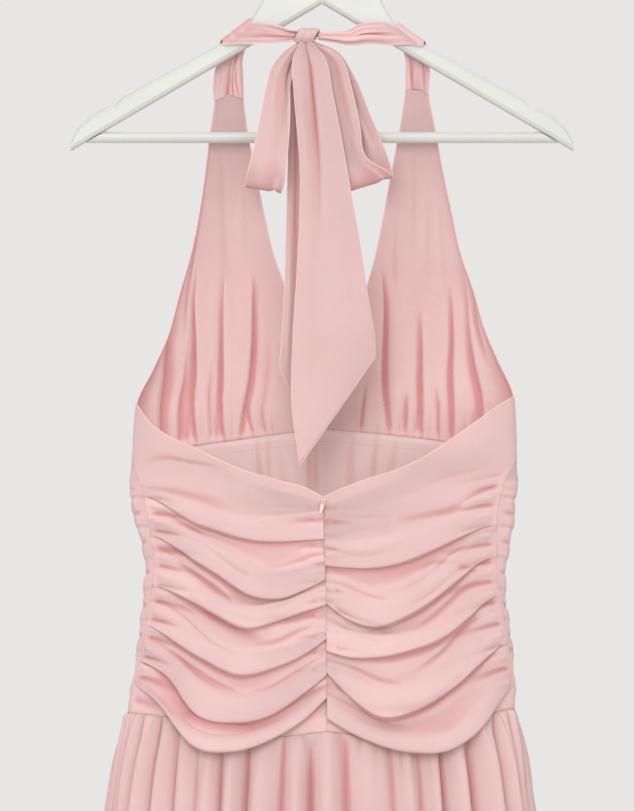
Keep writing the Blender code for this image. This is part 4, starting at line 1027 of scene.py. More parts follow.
LEFT_CUP_FOLDS = creases(
    (0.72, (0.62, -0.02, 0.0663, 0), (0.7, 0.012, 0.051, 0.0038), (0.88, 0.137, 0.0578, 0.0065), (0.99, 0.15, 0.0442, 0.0043)),
    (0.72, (0.72, 0.175, 0.0309, 0), (0.85, 0.232, 0.0306, 0.0045), (0.942, 0.243, 0.034, 0.0065), (1, 0.238, 0.0272, 0.0043)),
    (0.0, (0.36, 0.02, 0.02, 0), (0.475, 0.045, 0.022, 0.0014), (0.6, 0.085, 0.022, 0.0018), (0.72, 0.144, 0.018, 0)),
    (-0.72, (0.48, 0.105, 0.0309, 0), (0.6, 0.155, 0.0255, 0.0032), (0.85, 0.303, 0.0221, 0.0056), (0.99, 0.338, 0.017, 0.0049)),
    (0.72, (0.74, 0.365, 0.0398, 0), (0.842, 0.389, 0.034, 0.0024), (0.935, 0.407, 0.0272, 0.003), (1, 0.405, 0.0204, 0.0024)),
    (-0.72, (0.5, 0.402, 0.0309, 0), (0.66, 0.41, 0.0221, 0.0032), (0.85, 0.469, 0.0187, 0.0056), (1, 0.487, 0.0153, 0.0048)),
    (0.72, (0.5, 0.71, 0.0398, 0), (0.608, 0.663, 0.0306, 0.0035), (0.85, 0.617, 0.0255, 0.0056), (1, 0.56, 0.017, 0.0039)),
    (0.0, (0.87, 0.612, 0.0128, 0), (0.96, 0.632, 0.0128, 0.003), (1, 0.64, 0.0112, 0.0028)),
    (0.2, (0.66, 0.775, 0.03, 0), (0.8, 0.735, 0.034, 0.0014), (1, 0.665, 0.02, 0.001)),
    (0.0, (0.9, 0.29, 0.0128, 0), (1, 0.284, 0.0128, 0.0032)),
    (0.0, (0.87, 0.372, 0.0112, 0), (1, 0.362, 0.0112, 0.0028)),
    (0.0, (0.9, 0.44, 0.0112, 0), (1, 0.446, 0.0112, 0.0025)),
    (0.0, (0.91, 0.528, 0.0112, 0), (1, 0.522, 0.0112, 0.0028)),
    (0.0, (0.89, 0.7, 0.0128, 0), (1, 0.706, 0.0112, 0.002)),
    (0.0, (0.92, 0.742, 0.0112, 0), (1, 0.745, 0.0096, 0.0018)),
    (0.0, (0.1, 0.28, 0.08, 0), (0.26, 0.34, 0.08, 0.0012), (0.5, 0.42, 0.08, 0.0008), (0.7, 0.5, 0.06, 0)),
    (0.0, (0.2, 0.7, 0.06, 0), (0.34, 0.62, 0.06, -0.0012), (0.52, 0.56, 0.06, 0)),
)
RIGHT_CUP_FOLDS = creases(
    (-0.72, (0.5, 0.9, 0.0354, 0), (0.565, 0.834, 0.0306, 0.0035), (0.865, 0.71, 0.0238, 0.0058), (1, 0.655, 0.017, 0.0039)),
    (0.72, (0.84, 0.572, 0.0221, 0), (0.912, 0.572, 0.0187, 0.0037), (1, 0.562, 0.0153, 0.0035)),
    (0.72, (0.62, 0.478, 0.0309, 0), (0.745, 0.477, 0.0238, 0.0037), (0.883, 0.494, 0.0204, 0.006), (1, 0.479, 0.0153, 0.0048)),
    (0.72, (0.55, 0.205, 0.0309, 0), (0.672, 0.232, 0.0238, 0.0037), (0.885, 0.326, 0.0204, 0.006), (1, 0.318, 0.017, 0.0045)),
    (0.72, (0.5, 0.04, 0.0442, 0), (0.688, 0.118, 0.034, 0.0032), (0.835, 0.168, 0.0306, 0.006), (1, 0.172, 0.0238, 0.0043)),
    (0.72, (0.56, 0.01, 0.0398, 0), (0.675, 0.042, 0.0306, 0.003), (0.8, 0.07, 0.0238, 0)),
    (0.0, (0.8, 0.823, 0.016, 0), (0.893, 0.812, 0.014, 0.002), (1, 0.8, 0.01, 0.0022)),
    (0.72, (0.84, 0.412, 0.0199, 0), (0.91, 0.4, 0.017, 0.0032), (1, 0.391, 0.0136, 0.0028)),
    (0.0, (0.88, 0.44, 0.0112, 0), (1, 0.446, 0.0112, 0.0025)),
    (0.0, (0.9, 0.52, 0.0112, 0), (1, 0.524, 0.0112, 0.0028)),
    (0.0, (0.89, 0.612, 0.0112, 0), (1, 0.606, 0.0112, 0.0025)),
    (0.0, (0.91, 0.266, 0.0128, 0), (1, 0.262, 0.0112, 0.003)),
    (0.0, (0.9, 0.222, 0.0128, 0), (1, 0.226, 0.0112, 0.003)),
    (0.0, (0.92, 0.108, 0.0128, 0), (1, 0.106, 0.0128, 0.0025)),
    (0.0, (0.92, 0.712, 0.0128, 0), (1, 0.716, 0.0112, 0.0018)),
    (0.0, (0.1, 0.62, 0.08, 0), (0.28, 0.56, 0.08, 0.0012), (0.5, 0.58, 0.07, 0)),
    (0.0, (0.22, 0.22, 0.06, 0), (0.4, 0.28, 0.06, -0.0012), (0.6, 0.36, 0.06, 0)),
    (0.0, (0.34, 0.84, 0.05, 0), (0.5, 0.76, 0.05, 0.0011), (0.7, 0.7, 0.05, 0)),
)
LEFT_STRAP_FOLDS = creases(
    (0.0, (0.0, 0.46, 0.050, -0.0016), (0.10, 0.50, 0.045, -0.0022), (0.24, 0.56, 0.050, -0.0016), (0.42, 0.60, 0.06, 0.0)),
    (0.3, (0.0, 0.62, 0.040, -0.0014), (0.10, 0.60, 0.045, -0.0026), (0.26, 0.66, 0.050, -0.0014), (0.5, 0.70, 0.06, 0.0)),
    (-0.3, (0.0, 0.92, 0.040, -0.0012), (0.10, 0.80, 0.045, -0.0024), (0.26, 0.74, 0.050, -0.0018), (0.45, 0.78, 0.06, 0.0)),
    (0.0, (0.0, 0.16, 0.050, -0.0008), (0.12, 0.20, 0.050, -0.0010), (0.30, 0.26, 0.060, 0.0)),
    (0.0, (0.08, 0.90, 0.040, 0.0010), (0.22, 0.88, 0.050, 0.0014), (0.34, 0.90, 0.060, 0.0)),
    (0.0, (0.50, 0.30, 0.070, 0.0), (0.68, 0.34, 0.070, 0.0016), (1.0, 0.40, 0.090, 0.0022)),
    (0.0, (0.56, 0.66, 0.070, 0.0), (0.74, 0.66, 0.070, 0.0016), (1.0, 0.64, 0.080, 0.0020)),
    (0.0, (0.62, 0.86, 0.050, 0.0), (0.80, 0.84, 0.050, 0.0012), (1.0, 0.82, 0.060, 0.0016)),
    (0.0, (0.60, 0.14, 0.050, 0.0), (0.82, 0.16, 0.050, 0.0012), (1.0, 0.18, 0.060, 0.0012)),
)
RIGHT_STRAP_FOLDS = creases(
    (0.0, (0.0, 0.80, 0.045, -0.0014), (0.10, 0.84, 0.045, -0.0022), (0.22, 0.86, 0.050, -0.0010), (0.36, 0.88, 0.06, 0.0)),
    (0.3, (0.0, 0.58, 0.045, -0.0016), (0.12, 0.64, 0.045, -0.0026), (0.26, 0.66, 0.050, -0.0014), (0.45, 0.66, 0.06, 0.0)),
    (-0.3, (0.0, 0.24, 0.045, -0.0016), (0.12, 0.30, 0.045, -0.0026), (0.26, 0.38, 0.050, -0.0012), (0.42, 0.42, 0.06, 0.0)),
    (0.0, (0.0, 0.10, 0.040, -0.0010), (0.14, 0.14, 0.040, -0.0014), (0.30, 0.16, 0.050, 0.0)),
    (0.0, (0.46, 0.26, 0.070, 0.0), (0.64, 0.30, 0.070, 0.0018), (0.86, 0.34, 0.080, 0.0022), (1.0, 0.36, 0.100, 0.0012)),
    (0.0, (0.52, 0.58, 0.060, 0.0), (0.70, 0.60, 0.060, 0.0018), (0.88, 0.60, 0.070, 0.0022), (1.0, 0.60, 0.080, 0.0012)),
    (0.0, (0.50, 0.82, 0.050, 0.0), (0.72, 0.80, 0.050, 0.0014), (0.9, 0.80, 0.060, 0.0014), (1.0, 0.80, 0.080, 0.0006)),
    (0.0, (0.58, 0.12, 0.050, 0.0), (0.78, 0.12, 0.050, -0.0012), (0.94, 0.14, 0.060, -0.0010), (1.0, 0.14, 0.060, 0.0)),
)
LEFT_LOOP_FOLDS = creases(
    (0.4, (0.02, 0.66, 0.10, 0.0), (0.08, 0.76, 0.11, 0.0044), (0.14, 0.86, 0.11, 0.003), (0.22, 0.92, 0.10, 0.0)),
    (0.0, (0.02, 0.40, 0.12, -0.0012), (0.12, 0.42, 0.16, -0.0016), (0.30, 0.45, 0.20, -0.0008), (0.45, 0.5, 0.20, 0.0)),
    (0.0, (0.18, 0.92, 0.05, 0.0), (0.24, 0.90, 0.07, 0.002), (0.32, 0.94, 0.06, 0.0)),
    (0.0, (0.44, 0.80, 0.08, 0.0), (0.52, 0.80, 0.08, 0.002), (0.60, 0.82, 0.08, 0.0)),
    (0.0, (0.60, 0.40, 0.10, 0.0), (0.75, 0.40, 0.10, -0.0014), (0.95, 0.45, 0.10, -0.001)),
)
RIGHT_LOOP_FOLDS = creases(
    (0.2, (0.02, 0.36, 0.12, 0.0010), (0.12, 0.34, 0.14, 0.0014), (0.30, 0.30, 0.14, 0.0006), (0.42, 0.28, 0.14, 0.0)),
    (0.0, (0.40, 0.16, 0.08, 0.0), (0.48, 0.20, 0.09, -0.0018), (0.56, 0.26, 0.08, 0.0)),
    (0.0, (0.52, 0.60, 0.12, 0.0), (0.62, 0.55, 0.12, 0.0018), (0.74, 0.52, 0.10, 0.0)),
    (0.0, (0.56, 0.30, 0.06, 0.0), (0.66, 0.36, 0.07, -0.0014), (0.80, 0.44, 0.07, 0.0)),
    (0.0, (0.70, 0.30, 0.10, 0.0), (0.85, 0.36, 0.10, 0.0012), (1.0, 0.42, 0.10, 0.0008)),
)
FRONT_TAIL_FOLDS = creases(
    (-0.5, (0.0, 0.46, 0.06, 0.0014), (0.05, 0.52, 0.10, 0.005), (0.13, 0.51, 0.12, 0.0082), (0.23, 0.45, 0.12, 0.0074), (0.34, 0.40, 0.13, 0.0036), (0.48, 0.36, 0.14, 0.001), (0.60, 0.34, 0.14, 0.0)),
    (0.0, (0.0, 0.16, 0.09, -0.0008), (0.12, 0.18, 0.12, -0.0012), (0.40, 0.14, 0.09, -0.0008), (0.75, 0.10, 0.07, 0.0)),
    (0.0, (0.0, 0.80, 0.10, -0.0008), (0.2, 0.78, 0.14, -0.0012), (0.5, 0.70, 0.16, 0.0)),
    (0.0, (0.50, 0.60, 0.16, 0.0), (0.75, 0.56, 0.18, -0.001), (1.0, 0.50, 0.16, 0.0)),
)
BACK_TAIL_FOLDS = creases(
    (0.2, (0.10, 0.20, 0.05, 0.0), (0.34, 0.22, 0.06, 0.0014), (0.70, 0.24, 0.06, 0.0)),
    (0.0, (0.20, 0.60, 0.12, 0.0), (0.50, 0.56, 0.12, -0.0014), (0.90, 0.50, 0.12, 0.0)),
    (0.0, (0.45, 0.10, 0.05, 0.0), (0.70, 0.12, 0.05, -0.0012), (1.0, 0.14, 0.05, 0.0)),
)


def arm_top(out: Array) -> Array:
    """The drop of the arm's top at a distance from the hanger's middle."""
    return through(out, [row.out for row in ARM], [row.top for row in ARM])


def bowed(share: Array) -> Array:
    """A bow over a share across: 0 at both ends and 1 in the middle."""
    return 1 - (2 * share - 1) ** 2


def ribbon(
    rows: Sequence[Strip], count: int, columns: int, waves: float, folds: Sequence[Crease], depth: float = 1.0, arc: float = 0.0
) -> Array:
    """A grid over a ribbon of cloth, read from its table by length.

    Its rows run straight between two edges. Point = row + normal * (fold * depth * -cos(2 pi * waves * share) + creases).

    Args:
        rows: the ribbon's table.
        count: rows of the grid.
        columns: points across it.
        waves: soft folds across its whole width.
        folds: creases, along by length and across by share.
        depth: the share of the table's fold that those waves have.
        arc: how far the middle of its first row lies above the row's ends.

    Returns:
        The grid.
    """
    table = np.array(rows)
    length = lengths_along((table[:, 0:3] + table[:, 3:6]) / 2)
    along = np.linspace(0, 1, count)
    read = through(along * length[-1], length, table)
    outer = read[:, [0, 2, 1]] * (1, 1, -1)
    inner = read[:, [3, 5, 4]] * (1, 1, -1)
    share = np.linspace(0, 1, columns)
    points = outer[:, None] * (1 - share[:, None]) + inner[:, None] * share[:, None]
    points[..., 2] += arc * bowed(share) * np.clip(1 - along[:, None] / ARC_SHARE, 0, 1) ** 2
    wave = -np.cos(2 * np.pi * waves * share) * np.abs(read[:, [6]]) * depth
    points = points + normals_of(points) * wave[..., None]
    return pushed(points, folds, along[:, None] + 0 * share, share + 0 * along[:, None])


def strap_rows(up: Sequence[Strip], over: Sequence[float], down: Sequence[Strip], side: int) -> tuple[Strip, ...]:
    """A strap's table, with the rows over the arm's rounded top put between those before and after it."""
    outer_far, inner_far, outer_near, inner_near = over
    reach = HANGER_THICKNESS / 2 + STRAP_CLEARANCE
    lift = HANGER_EDGE_RADIUS + STRAP_LIFT
    rows = []
    for turn in np.radians((-25, 0, 35, 65, 90, 115, 140, 160)):
        share = (1 - np.cos(np.clip(turn, 0, np.pi))) / 2
        outer = outer_far * (1 - share) + outer_near * share
        inner = inner_far * (1 - share) + inner_near * share
        y = reach * np.cos(np.clip(turn, 0, np.pi))
        rise = lift * np.sin(turn) - HANGER_EDGE_RADIUS
        drops = [float(arm_top(np.array(out))) - rise for out in (outer, inner)]
        rows.append(Strip(side * outer, drops[0], y, side * inner, drops[1], y, 0.0))
    return (*up, *rows, *down)


@dataclass
class Hanger:
    """The wooden hanger that holds the dress: two arms, a trouser bar and a wire hook, all kept from the solids."""

    wardrobe: Wardrobe

    def build(self) -> None:
        """Paint the arms and the bar, and brighten the hook."""
        for node in ("hanger_arm_left", "hanger_arm_right", "hanger_bar"):
            self.finish(node, self.wardrobe.paint, "hanger_wood")
        self.finish("hanger_hook", self.wardrobe.wire, "hook_wire")

    def finish(self, node: str, material: bpy.types.Material, slot: str) -> None:
        """Give a solid its material."""
        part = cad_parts[node]
        part.data.materials.clear()
        part.data.materials.append(material)
        LOG.info("%s: finished as %s (%s)", node, material.name, slot)


@dataclass
class HalterStraps:
    """The two straps: gathered onto the cups' tops, up behind the arms, over them and forward to the knot."""

    wardrobe: Wardrobe
    rows: int = 110
    columns: int = 38
    flat_size: tuple[float, float] = (0.034, 0.118)

    def grid(self, side: Side) -> Array:
        """The strap's grid on that side."""
        left = side is Side.LEFT
        up, down = (LEFT_STRAP_UP, LEFT_STRAP_DOWN) if left else (RIGHT_STRAP_UP, RIGHT_STRAP_DOWN)
        rows = strap_rows(up, STRAP_OVER_ARM[side.value], down, -1 if left else 1)
        folds = LEFT_STRAP_FOLDS if left else RIGHT_STRAP_FOLDS
        return ribbon(rows, self.rows, self.columns, 2.0, folds, arc=STRAP_SEAM_ARC[side.value])

    def build(self) -> dict[Side, Array]:
        """Make both straps, and return their grids for the sewing."""
        grids = {}
        for side in Side:
            grids[side] = self.grid(side)
            cloth_piece(
                f"strap_{side.value}", grids[side], self.wardrobe.chiffon, self.flat_size,
            )
        return grids


@dataclass
class Bow:
    """The bow that the straps are tied in: a wrapped knot, two loops and two tails cut to a slant."""

    wardrobe: Wardrobe
    loop_rows: int = 110
    loop_columns: int = 34
    tail_rows: int = 110
    tail_columns: int = 44
    knot_half_size: tuple[float, float, float] = (0.0092, 0.0082, 0.0068)
    knot_folds: tuple[Crease, ...] = creases(
        (0.3, (0.0, 0.30, 0.12, -0.0004), (0.5, 0.42, 0.13, -0.0011), (1.0, 0.36, 0.12, -0.0004)),
        (-0.2, (0.0, 0.70, 0.10, 0.0), (0.4, 0.76, 0.10, -0.0008), (1.0, 0.66, 0.10, -0.0004)),
    )

    def knot_grid(self) -> Array:
        """The knot: a band wound a little over once round the straps, its edges drawn in.

        At a turn t and a place s across, radius = half size * (1 - 0.32 (2 s - 1)^4) and x = centre + (2 s - 1) half width.
        """
        turn = np.radians(np.linspace(-110, 300, 110))[:, None]
        across = np.linspace(0, 1, 30)[None, :]
        wide, deep, high = self.knot_half_size
        drawn = 1 - 0.34 * (2 * across - 1) ** 4 - 0.05 * np.cos(turn / 2)
        slant = 0.0022 * np.sin(turn)
        x = KNOT_CENTRE[0] + (2 * across - 1) * wide * (1 - 0.06 * np.cos(turn)) + slant
        y = KNOT_CENTRE[1] - deep * drawn * np.cos(turn)
        z = KNOT_CENTRE[2] + high * drawn * np.sin(turn)
        points = np.stack([x + 0 * y, y, z + 0 * x], axis=2)
        along = (turn - turn[0]) / (turn[-1] - turn[0])
        lift = sum(fold.push(along + 0 * across, across + 0 * along) for fold in self.knot_folds)
        out = np.stack([0 * y, -np.cos(turn) + 0 * y, np.sin(turn) + 0 * y], axis=2)
        return points + out * lift[..., None]

    def build(self) -> dict[str, Array]:
        """Make the bow, and return its grids for the sewing."""
        grids = {
            "bow_loop_left": ribbon(LEFT_LOOP, self.loop_rows, self.loop_columns, 1.5, LEFT_LOOP_FOLDS, 0.25),
            "bow_loop_right": ribbon(RIGHT_LOOP, self.loop_rows, self.loop_columns, 1.5, RIGHT_LOOP_FOLDS, 0.3),
            "bow_tail_front": ribbon(FRONT_TAIL, self.tail_rows, self.tail_columns, 2.0, FRONT_TAIL_FOLDS, 0.12),
            "bow_tail_back": ribbon(BACK_TAIL, self.tail_rows, self.tail_columns, 1.5, BACK_TAIL_FOLDS, 0.5),
            "bow_knot": self.knot_grid(),
        }
        flats = {
            "bow_loop_left": (0.031, 0.26),
            "bow_loop_right": (0.031, 0.26),
            "bow_tail_front": (0.062, 0.36),
            "bow_tail_back": (0.042, 0.33),
            "bow_knot": (0.020, 0.055),
        }
        for node, points in grids.items():
            cloth_piece(node, points, self.wardrobe.tie, flats[node])
        return grids


@dataclass
class Cups:
    """The two bust cups, gathered into the underbust seam and seen from their inside through the open back."""

    wardrobe: Wardrobe
    rows: int = 118
    columns: int = 150
    flat_size: tuple[float, float] = (0.20, 0.33)
    flat_area: float = 0.036

    def grid(self, side: Side) -> Array:
        """A cup: rows from armhole edge to neck edge that swell to the front, with troughs up from the seam.

        y = straight line + round_out * (sqrt(1 - (1 - a)^2) - a) + swell * sin(pi a) + creases, a the share across.
        """
        left = side is Side.LEFT
        table = np.array(LEFT_CUP if left else RIGHT_CUP)
        length = lengths_along((table[:, [0, 1, 2]] + table[:, [3, 4, 5]]) / 2)
        down = np.linspace(0, 1, self.rows)
        read = through(down, length / length[-1], table)[:, None, :]
        across = eased(self.columns, 0.35)[None, :]
        arm_x, arm_drop, arm_y, neck_x, neck_drop, neck_y, round_out, swell = np.moveaxis(read, 2, 0)
        x = arm_x * (1 - across) + neck_x * across
        drop = arm_drop * (1 - across) + neck_drop * across
        seam = edge_drop(UNDERBUST, across, side)
        level = seam[:, [0]] * (1 - across) + seam[:, [-1]] * across
        drop = drop + (seam - level - CROSS_SEAM_SIDE) * down[:, None] ** 3
        drop = drop - STRAP_SEAM_ARC[side.value] * bowed(across) * np.clip(1 - down[:, None] / CUP_ARC_SHARE, 0, 1) ** 2
        y = arm_y * (1 - across) + neck_y * across
        y = y + round_out * (np.sqrt(1 - (1 - across) ** 2) - across) + swell * np.sin(np.pi * across)
        folds = LEFT_CUP_FOLDS if left else RIGHT_CUP_FOLDS
        place = down[:, None] + 0 * across
        held = np.clip((1 - down[:, None]) / 0.03, 0.35, 1)
        y = y + held * sum(fold.push(place, across + 0 * place) for fold in folds)
        return np.stack([x, y, -drop], axis=2)

    def build(self) -> dict[Side, Array]:
        """Make both cups, and return their grids for the sewing."""
        grids = {}
        for side in Side:
            grids[side] = self.grid(side)
            cloth_piece(
                f"cup_{side.value}", grids[side], self.wardrobe.chiffon, self.flat_size,
            )
        return grids


class SectionPoint(NamedTuple):
    """A point on a fold's section: a share of the way, and a share of the fold's reach out."""

    way: float
    out: float


class FoldSection(NamedTuple):
    """A fold from the foot above it to its upper line, on to its lip, and round below it by shares of reach + soft."""

    rise: tuple[SectionPoint, ...]
    band: tuple[SectionPoint, ...]
    back: tuple[SectionPoint, ...]
    foot: float
    soft: float


def section(*points: tuple[float, float]) -> tuple[SectionPoint, ...]:
    """Section points from pairs of numbers."""
    return tuple(SectionPoint(*point) for point in points)


LAPPED = FoldSection(
    section((0.25, 0.02), (0.5, 0.10), (0.75, 0.30), (1.0, 0.62)),
    section((0.2, 0.82), (0.45, 0.95), (0.7, 1.0), (0.88, 0.99), (0.96, 0.92), (1.0, 0.80)),
    section((0.04, 0.62), (0.09, 0.40), (0.17, 0.17), (0.30, 0.02)),
    0.34,
    0.0,
)
ROUNDED = FoldSection(
    section((0.25, 0.14), (0.5, 0.40), (0.75, 0.66), (1.0, 0.86)),
    section((0.2, 0.94), (0.45, 1.0), (0.7, 0.97), (0.88, 0.88), (1.0, 0.76)),
    section((0.12, 0.56), (0.27, 0.32), (0.45, 0.12), (0.62, 0.02)),
    0.66,
    0.0045,
)
TOP_PLAIN = 0.008
SEAM_HOLD = 0.012
SEAM_FREE = 0.12
TAPE_CLEAR = 0.0007
TAPE_EDGE = 0.94


class Pucker(NamedTuple):
    """A short tuck that runs in from a gathered seam: where it starts, how far it falls, its reach, width and height."""

    drop: float
    fall: float
    reach: float
    width: float
    height: float


LEFT_SIDE_PUCKERS = (
    Pucker(0.5480, 0.012, 0.36, 0.0039, -0.0014),
    Pucker(0.5560, 0.004, 0.10, 0.0018, -0.0028),
    Pucker(0.5630, 0.006, 0.14, 0.0021, 0.0024),
    Pucker(0.5700, 0.006, 0.20, 0.0021, -0.0031),
    Pucker(0.5770, 0.004, 0.09, 0.0020, 0.0024),
    Pucker(0.5850, 0.010, 0.22, 0.0023, -0.0028),
    Pucker(0.5940, 0.005, 0.10, 0.0021, 0.0025),
    Pucker(0.6010, 0.009, 0.24, 0.0021, -0.0031),
    Pucker(0.6080, 0.004, 0.08, 0.0018, 0.0022),
    Pucker(0.6160, 0.010, 0.20, 0.0023, -0.0031),
    Pucker(0.6240, 0.006, 0.11, 0.0020, 0.0028),
    Pucker(0.6330, 0.009, 0.26, 0.0022, -0.0032),
    Pucker(0.6400, 0.004, 0.09, 0.0018, 0.0022),
    Pucker(0.6470, 0.011, 0.21, 0.0023, -0.0030),
    Pucker(0.6560, 0.006, 0.10, 0.0021, 0.0025),
    Pucker(0.6630, 0.012, 0.24, 0.0021, -0.0031),
    Pucker(0.6710, 0.006, 0.09, 0.0020, 0.0024),
    Pucker(0.6790, 0.012, 0.20, 0.0023, -0.0030),
    Pucker(0.6880, 0.008, 0.11, 0.0021, 0.0028),
    Pucker(0.6960, 0.013, 0.24, 0.0022, -0.0032),
    Pucker(0.7050, 0.006, 0.09, 0.0021, 0.0024),
    Pucker(0.7140, 0.013, 0.22, 0.0023, -0.0028),
    Pucker(0.7240, 0.008, 0.12, 0.0023, 0.0024),
    Pucker(0.7340, 0.008, 0.12, 0.0023, -0.0021),
)
RIGHT_SIDE_PUCKERS = (
    Pucker(0.5360, 0.014, 0.32, 0.0039, -0.0014),
    Pucker(0.5460, 0.006, 0.12, 0.0021, -0.0024),
    Pucker(0.5550, 0.008, 0.17, 0.0022, 0.0022),
    Pucker(0.5620, 0.012, 0.26, 0.0023, -0.0030),
    Pucker(0.5710, 0.005, 0.10, 0.0020, 0.0024),
    Pucker(0.5800, 0.009, 0.19, 0.0022, -0.0030),
    Pucker(0.5880, 0.006, 0.10, 0.0018, 0.0024),
    Pucker(0.5970, 0.010, 0.23, 0.0022, -0.0031),
    Pucker(0.6050, 0.005, 0.09, 0.0020, 0.0022),
    Pucker(0.6120, 0.011, 0.20, 0.0021, -0.0031),
    Pucker(0.6220, 0.007, 0.12, 0.0022, 0.0025),
    Pucker(0.6300, 0.011, 0.24, 0.0022, -0.0031),
    Pucker(0.6400, 0.006, 0.09, 0.0020, 0.0024),
    Pucker(0.6480, 0.012, 0.22, 0.0023, -0.0031),
    Pucker(0.6580, 0.006, 0.10, 0.0021, 0.0024),
    Pucker(0.6670, 0.012, 0.25, 0.0022, -0.0030),
    Pucker(0.6760, 0.007, 0.09, 0.0020, 0.0024),
    Pucker(0.6850, 0.013, 0.21, 0.0023, -0.0031),
    Pucker(0.6960, 0.008, 0.11, 0.0022, 0.0024),
    Pucker(0.7060, 0.012, 0.20, 0.0023, -0.0028),
    Pucker(0.7180, 0.008, 0.12, 0.0023, 0.0021),
)
LEFT_ZIP_PUCKERS = (
    Pucker(0.5665, 0.000, 0.13, 0.0018, -0.0022),
    Pucker(0.5695, 0.002, 0.52, 0.0029, 0.0024),
    Pucker(0.5745, 0.001, 0.42, 0.0026, -0.0024),
    Pucker(0.5820, 0.000, 0.17, 0.0021, 0.0015),
    Pucker(0.5985, 0.001, 0.20, 0.0018, -0.0025),
    Pucker(0.6030, -0.001, 0.17, 0.0018, 0.0022),
    Pucker(0.6145, -0.001, 0.22, 0.0021, -0.0024),
    Pucker(0.6200, 0.002, 0.11, 0.0018, 0.0019),
    Pucker(0.6300, 0.002, 0.28, 0.0021, -0.0019),
    Pucker(0.6420, -0.001, 0.13, 0.0018, 0.0022),
    Pucker(0.6465, 0.003, 0.22, 0.0020, -0.0025),
    Pucker(0.6580, 0.002, 0.17, 0.0020, -0.0022),
    Pucker(0.6650, 0.004, 0.20, 0.0021, 0.0019),
    Pucker(0.6765, 0.004, 0.21, 0.0020, -0.0025),
    Pucker(0.6900, 0.004, 0.17, 0.0020, -0.0022),
    Pucker(0.7050, 0.006, 0.20, 0.0022, -0.0024),
    Pucker(0.7180, 0.006, 0.13, 0.0021, 0.0019),
)
RIGHT_ZIP_PUCKERS = (
    Pucker(0.5645, 0.001, 0.12, 0.0018, -0.0019),
    Pucker(0.5705, -0.002, 0.31, 0.0023, 0.0019),
    Pucker(0.5780, -0.002, 0.39, 0.0023, -0.0025),
    Pucker(0.5860, 0.000, 0.17, 0.0018, 0.0019),
    Pucker(0.6000, 0.002, 0.22, 0.0020, -0.0025),
    Pucker(0.6060, 0.000, 0.12, 0.0018, 0.0022),
    Pucker(0.6195, 0.003, 0.21, 0.0021, -0.0025),
    Pucker(0.6370, 0.003, 0.24, 0.0020, -0.0024),
    Pucker(0.6430, 0.002, 0.13, 0.0018, 0.0019),
    Pucker(0.6560, 0.004, 0.22, 0.0021, -0.0025),
    Pucker(0.6720, 0.005, 0.17, 0.0020, -0.0024),
    Pucker(0.6870, 0.005, 0.23, 0.0021, -0.0025),
    Pucker(0.7020, 0.007, 0.17, 0.0021, 0.0019),
    Pucker(0.7210, 0.006, 0.17, 0.0022, -0.0022),
)
FRONT_SIDE_PUCKERS = (
    Pucker(0.5480, 0.003, 0.08, 0.0031, -0.0017),
    Pucker(0.5590, 0.006, 0.14, 0.0028, 0.0017),
    Pucker(0.5690, 0.005, 0.11, 0.0028, -0.0022),
    Pucker(0.5840, 0.008, 0.17, 0.0031, 0.0019),
    Pucker(0.5940, 0.006, 0.12, 0.0026, -0.0022),
    Pucker(0.6090, 0.006, 0.09, 0.0028, 0.0017),
    Pucker(0.6210, 0.010, 0.19, 0.0028, -0.0022),
    Pucker(0.6370, 0.007, 0.11, 0.0028, 0.0019),
    Pucker(0.6500, 0.011, 0.17, 0.0030, -0.0022),
    Pucker(0.6640, 0.008, 0.11, 0.0028, 0.0017),
    Pucker(0.6770, 0.012, 0.19, 0.0030, -0.0022),
    Pucker(0.6940, 0.008, 0.12, 0.0028, 0.0017),
    Pucker(0.7090, 0.010, 0.15, 0.0030, -0.0019),
    Pucker(0.7240, 0.008, 0.11, 0.0031, 0.0015),
)
